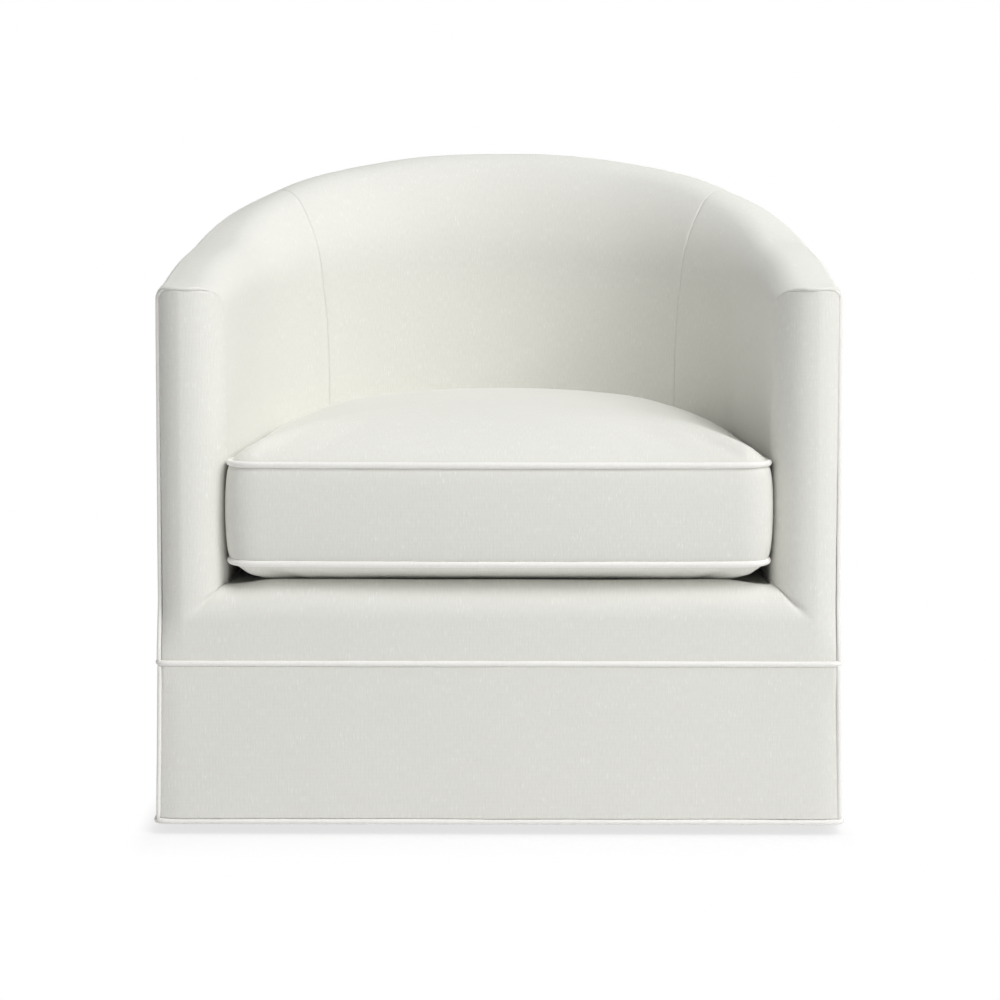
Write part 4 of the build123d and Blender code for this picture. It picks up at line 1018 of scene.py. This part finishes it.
# %% Cushion welts
WELT_SINK, SINK_START, SINK_REACH = 2.4, -345.0, 60.0
plan = cushion_line(1.0)
sink = WELT_SINK * np.clip((plan[:, 1] - SINK_START) / SINK_REACH, 0, 1)
for name, z, node in (
    ("cushion_welt_upper", upper_seam(plan[:, 1]) - sink, "cushion_welt_top"),
    ("cushion_welt_lower", np.full(len(plan), LOWER_SEAM), "cushion_welt_bottom"),
):
    sew_welt(name, np.column_stack([plan, z]), WELT_RADIUS, "cushion", [node], closed=True)

# %% [markdown]
# ## Finishes of the hidden parts
# The frame, the springs and the swivel keep the shapes of their solids, which are right for rigid parts. Each gets
# the finish of its real material, with a pattern on Object coordinates at that material's own scale.

# %% Materials of the frame and swivel


def patterned(name, dark, light, kind, scale, rough, stretch=(1, 1, 1), bump=0.1, depth=0.3, metal=0.0):
    """A finish whose colour, roughness and relief follow one texture, with its scale in millimetres."""
    material, tree, shader = new_material(name, Metallic=metal)
    place = tree.nodes.new("ShaderNodeTexCoord").outputs["Object"]
    mapped = add(tree, "Mapping", {"Vector": place, "Scale": [s / (scale * MM) for s in stretch]})
    texture = add(tree, kind, {"Vector": mapped, "Scale": 1.0})
    colour = add(tree, "MixRGB", {"Fac": texture, "Color1": linear(dark), "Color2": linear(light)})
    roughness = add(tree, "MapRange", {"Value": texture, "To Min": rough[0], "To Max": rough[1]})
    relief = add(tree, "Bump", {"Height": texture, "Strength": bump, "Distance": depth * MM})
    wire(tree, shader, colour, roughness, relief)
    return material


finishes = {
    # Rotary-cut birch: long pale grain, dry and matte.
    "frame_plywood": patterned("raw birch plywood", "#B98F5F", "#D9BB8C", "TexNoise", 9, (0.6, 0.75), (1, 0.08, 1)),
    # Pressed wood fibre: fine brown specks.
    "fibreboard": patterned("pressed fibreboard", "#6B4E33", "#8F6E4C", "TexNoise", 2, (0.75, 0.9), bump=0.2),
    # Coarse jute yarn, hairy and dull.
    "jute_webbing": patterned("woven jute webbing", "#7A5F3B", "#A88B5F", "TexNoise", 3, (0.85, 0.95), bump=0.5),
    # Non-woven cambric: a black felted film with a faint pressed dimple.
    "black_cambric": patterned(
        "black cambric dust cloth", "#121212", "#262626", "TexVoronoi", 2.5, (0.8, 0.95), bump=0.3
    ),
    # Oiled spring wire: dark, with soft streaks of oil.
    "spring_steel": patterned("oiled spring wire", "#4A4A4C", "#6E6E70", "TexNoise", 14, (0.3, 0.5), metal=1.0),
    # Satin powder coat: black with a fine orange peel.
    "black_powder_coat": patterned(
        "satin black powder coat", "#101010", "#1A1A1A", "TexNoise", 1.2, (0.38, 0.5), bump=0.15
    ),
    # Zinc plate: pale grey metal with cloudy spangle.
    "zinc_plated_steel": patterned("zinc plated steel", "#A9ABAC", "#C9CBCC", "TexVoronoi", 8, (0.28, 0.45), metal=1.0),
    # Moulded nylon: near black, slightly waxy.
    "black_nylon": patterned("moulded black nylon", "#151515", "#202020", "TexNoise", 4, (0.4, 0.55)),
    # Open-cell foam: cream, full of pores.
    "seat_foam": patterned("open cell seat foam", "#D9CC9F", "#EFE6C4", "TexVoronoi", 1.5, (0.9, 1.0), bump=0.6),
    # Nylon zipper tape: a tight twill.
    "zipper_tape": patterned(
        "ivory zipper tape", "#CFCDC4", "#E4E2DA", "TexNoise", 1.2, (0.7, 0.85), (1, 1, 3), bump=0.3
    ),
    # Nickel plate: warm bright metal with rub marks.
    "nickel_plate": patterned("nickel plate", "#B5B1A8", "#D2CEC5", "TexNoise", 6, (0.15, 0.3), (1, 1, 0.2), metal=1.0),
}
slots = {part["node"]: part["material_slot"] for part in frame["record"]["subparts"]}
for name, solid in frame["nodes"].items():
    finish = finishes.get(slots.get(name))
    if finish is not None:
        solid.data.materials.clear()
        solid.data.materials.append(finish)
print("finished solids:", sum(slots.get(n) in finishes for n in frame["nodes"]))

# %% [markdown]
# ## Zipper
# A nylon coil zipper across the back of the boxing lets the foam out for washing. Its tape could be a plain band with
# the coil as a pattern, but the coil stands out of the cloth and shows when the cushion is lifted. So the tape is a
# strip with two dented rows of stitches, and the coil a second strip whose ridges interlock along the middle.

# %% Zipper tape and coil
TAPE_FACE, TAPE_HALF, TAPE_END, SEWN_FROM, THIN_CLOTH = 286.2, 12.5, 0.4, 8.5, 0.8
STITCH_ROW, STITCH, STITCH_DENT, STITCH_WIDTH = 9.5, 4.5, 0.35, 0.7
TOOTH, COIL_HALF, COIL_RISE, COIL_FILM, COIL_OFF, SPLIT = 2.4, 3.0, 1.2, 0.3, 0.05, 0.12


def round_back(bearing, radius, z):
    """Points in metres round the back of the cushion, at a bearing, a radius and a height."""
    return np.stack([radius * np.sin(bearing), INSIDE_Y + radius * np.cos(bearing), z], 1) * MM


reach = TAPE_FACE * ZIP_SWEEP - TAPE_END
tape_rows = lines((-TAPE_HALF, -SEWN_FROM, 0.5), (-SEWN_FROM, SEWN_FROM, 1.7), (SEWN_FROM, TAPE_HALF, 0.5))
tape, along, row = cut_panel("zipper_tape_strip", spread(-reach, reach, STITCH / 3), tape_rows)
dent = STITCH_DENT * np.exp(-(((np.abs(row) - STITCH_ROW) / STITCH_WIDTH) ** 2))
dent = dent * (0.55 + 0.45 * np.cos(2 * math.pi * along / STITCH))
move_points(tape, round_back(along / TAPE_FACE, TAPE_FACE - dent, ZIP_Z + row))
lay_uv(tape, along, row)
face_out(tape, (0, 0, ZIP_Z))
thicken(tape, THIN_CLOTH)
dress(tape, "cushion", "zipper_tape", finishes["zipper_tape"], "cushion_zipper")

coil, along, across = cut_panel("zipper_coil", spread(-reach, reach, TOOTH / 5), np.linspace(-1, 1, 11))
phase = 2 * math.pi * (along / TOOTH + 0.5 * (across > 0))
ridge = 0.7 + 0.3 * np.cos(phase) - 0.25 * np.exp(-((across / SPLIT) ** 2))
rise = COIL_RISE * ridge * (1 - across**4)
move_points(coil, round_back(along / TAPE_FACE, TAPE_FACE + COIL_OFF + rise, ZIP_Z + COIL_HALF * across))
lay_uv(coil, along, across)
face_out(coil, (0, 0, ZIP_Z))
thicken(coil, COIL_FILM)
# Moulded nylon monofilament: ivory, slightly waxy.
coil_nylon = patterned("ivory nylon zipper coil", "#D9D7CE", "#EAE8E0", "TexNoise", 3, (0.38, 0.5))
dress(coil, "cushion", "zipper_tape", coil_nylon)

# %% [markdown]
# ## Dust cover
# Black cambric under the seat keeps dust and springs out of sight. It is stapled round the bottom ring and to the
# board that carries the swivel, and it sags between them. A flat plate would be easier, but the sag and the puckers
# between staples are what tell cloth from board. The grid runs round the board in one direction and out in the other.

# %% Dust cover
COVER_HALF, COVER_FRONT, COVER_Z = 361.4, 328.7, 67.2
BOARD_LENGTH, BOARD_DEPTH = 330.4, 140.4
DUST_SAG, SAG_SPAN = 3.5, 60.0
PUCKER, PUCKER_REACH, STAPLE_STEP, STAPLE_RADIUS = 0.35, 22.0, 48.0, 350.0
corner_bearing = math.atan2(BOARD_DEPTH, BOARD_LENGTH)
front_bearing = math.atan2(COVER_FRONT, COVER_HALF)
turns = [corner_bearing, math.pi - corner_bearing, math.pi + corner_bearing, 2 * math.pi - corner_bearing]
turns += [math.pi + front_bearing, 2 * math.pi - front_bearing]
bearings = np.unique(np.concatenate([np.linspace(0, 2 * math.pi, 361), turns]))
hem_rows = lines((0, 0.08, 0.02), (0.08, 0.92, 0.06), (0.92, 1, 0.02))
dust, bearing, out = cut_panel("dust_cover_sheet", bearings, hem_rows)
cosine, sine = np.cos(bearing), np.sin(bearing)
far_x, far_y = 1 / np.maximum(np.abs(cosine), 1e-9), 1 / np.maximum(np.abs(sine), 1e-9)
inner = np.minimum(BOARD_LENGTH * far_x, BOARD_DEPTH * far_y)
bowed = SHOULDER_Y * sine + np.sqrt(COVER_HALF**2 - (SHOULDER_Y * cosine) ** 2)
outer = np.where(bowed * sine >= SHOULDER_Y, bowed, np.minimum(COVER_HALF * far_x, COVER_FRONT * far_y))
span = outer - inner
radius = inner + out * span
sag = 4 * out * (1 - out) * np.clip(span / SAG_SPAN, 0, DUST_SAG)
staples = 1 - np.cos(2 * math.pi * bearing * STAPLE_RADIUS / STAPLE_STEP)
pucker = PUCKER * staples * np.exp(-(1 - out) * span / PUCKER_REACH)
move_points(dust, np.stack([radius * cosine, radius * sine, COVER_Z - sag - pucker], 1) * MM)
in_edit(dust, bpy.ops.mesh.remove_doubles, threshold=1e-6)
face_out(dust, (0, 0, 300))
thicken(dust, THIN_CLOTH)
dress(dust, "chair", "black_cambric", finishes["black_cambric"], "dust_cover")

# %% [markdown]
# ## Studio
# The photograph is a catalogue picture: white all round, a broad soft key from the right, high and in front, a second
# soft lamp over the front, a weak one behind the rim, and light from everywhere else. A lit white floor alone would
# turn grey with distance, so beyond the contact shadow it glows white to the camera. The world is white to the camera,
# and a plain grey light to everything else.

# %% Floor, world and lamps
FOOTPRINT, SIDE_SPEED = (0.385, 0.379, 0), 3.5
# Even at the footprint the floor glows at the SHADOW_GLOW share, so its contact shadow is paled by painted light.
SHADOW_REACH, SHADOW_GLOW, WORLD_LIGHT = 0.11, 0.74, 0.29
AIM = Vector((0, 0, 0.4))


def seen_ray(tree):
    """1 for a ray that shows what it meets, such as the camera's, and 0 for one that only carries light."""
    rays = tree.nodes.new("ShaderNodeLightPath").outputs
    seen = add(tree, "Math", {0: rays["Is Camera Ray"], 1: rays["Is Glossy Ray"]}, operation="MAXIMUM")
    return add(tree, "Math", {0: seen, 1: rays["Is Transmission Ray"]}, operation="MAXIMUM")


bpy.ops.object.select_all(action="DESELECT")
bpy.ops.mesh.primitive_plane_add(size=30)
floor = bpy.context.object
floor.name = "studio_floor"
# Rolled floor paint: white and matte, with hardly any shine.
floor_paint, tree, shader = new_material("white floor paint", Roughness=0.9, Specular_IOR_Level=0.1)
shader.inputs["Base Color"].default_value = linear("#FBFBFB")
place = tree.nodes.new("ShaderNodeTexCoord").outputs["Object"]
beside = add(tree, "VectorMath", {0: place}, operation="ABSOLUTE")
beside = add(tree, "VectorMath", {0: beside, 1: FOOTPRINT}, operation="SUBTRACT")
beside = add(tree, "VectorMath", {0: beside, 1: (0, 0, 0)}, operation="MAXIMUM")
beside = add(tree, "VectorMath", {0: beside, 1: (SIDE_SPEED, 1, 0)}, operation="MULTIPLY")
away = add(tree, "VectorMath", {0: beside}, operation="LENGTH").node.outputs["Value"]
fade = {"Value": away, "From Max": SHADOW_REACH, "To Min": SHADOW_GLOW}
fade = add(tree, "MapRange", fade, interpolation_type="SMOOTHSTEP")
share = add(tree, "Math", {0: fade, 1: seen_ray(tree)}, operation="MULTIPLY")
white = add(tree, "Emission", {"Color": (1, 1, 1, 1), "Strength": 1.0})
mixed = add(tree, "MixShader", {0: share, 1: shader.outputs[0], 2: white})
tree.links.new(mixed, tree.nodes["Material Output"].inputs["Surface"])
floor.data.materials.append(floor_paint)

world = bpy.data.worlds.new("white studio")
bpy.context.scene.world = world
world.use_nodes = True
tree = world.node_tree
background = tree.nodes["Background"]
strength = add(tree, "MapRange", {"Value": seen_ray(tree), "To Min": WORLD_LIGHT, "To Max": 1.0})
background.inputs["Color"].default_value = (1, 1, 1, 1)
tree.links.new(strength, background.inputs["Strength"])


def lamp(name, place, size, power):
    """A square soft lamp that points at the chair."""
    light = bpy.data.lights.new(name, "AREA")
    light.shape, light.size, light.energy = "SQUARE", size, power
    holder = bpy.data.objects.new(name, light)
    bpy.context.scene.collection.objects.link(holder)
    holder.location = place
    holder.rotation_euler = (AIM - Vector(place)).to_track_quat("-Z", "Y").to_euler()
    print(f"{name}: {power} W")


lamp("key_softbox", (5.0, -4.0, 4.5), 2.5, 133)
lamp("overhead_softbox", (1.6, -2.2, 4.6), 2.2, 115)
lamp("rim_softbox", (2.6, 1.6, 4.0), 2.0, 30)
bpy.context.scene.view_settings.view_transform = "Standard"

# %% [markdown]
# ## Camera
# The picture was taken from almost straight ahead, some 3.4 m away and a little over the rim, with a long lens. The
# camera stands 22 mm to the right, is turned back by less than half a degree and tilted down by six, and its lens is
# shifted as much as the framing needs.

# %% Camera
TILT_DOWN, TURN_LEFT = 6.22, 0.42
lens = bpy.data.cameras.new("catalogue camera")
lens.lens, lens.sensor_width = 98.1, 36.0
lens.shift_x, lens.shift_y = 0.0013, -0.08
camera = bpy.data.objects.new("catalogue_camera", lens)
bpy.context.scene.collection.objects.link(camera)
camera.location = (0.022, -3.375, 0.7965)
camera.rotation_euler = (math.radians(90 - TILT_DOWN), 0, math.radians(TURN_LEFT))
bpy.context.scene.camera = camera
print("camera:", lens.lens, "mm lens at", [round(v, 3) for v in camera.location])
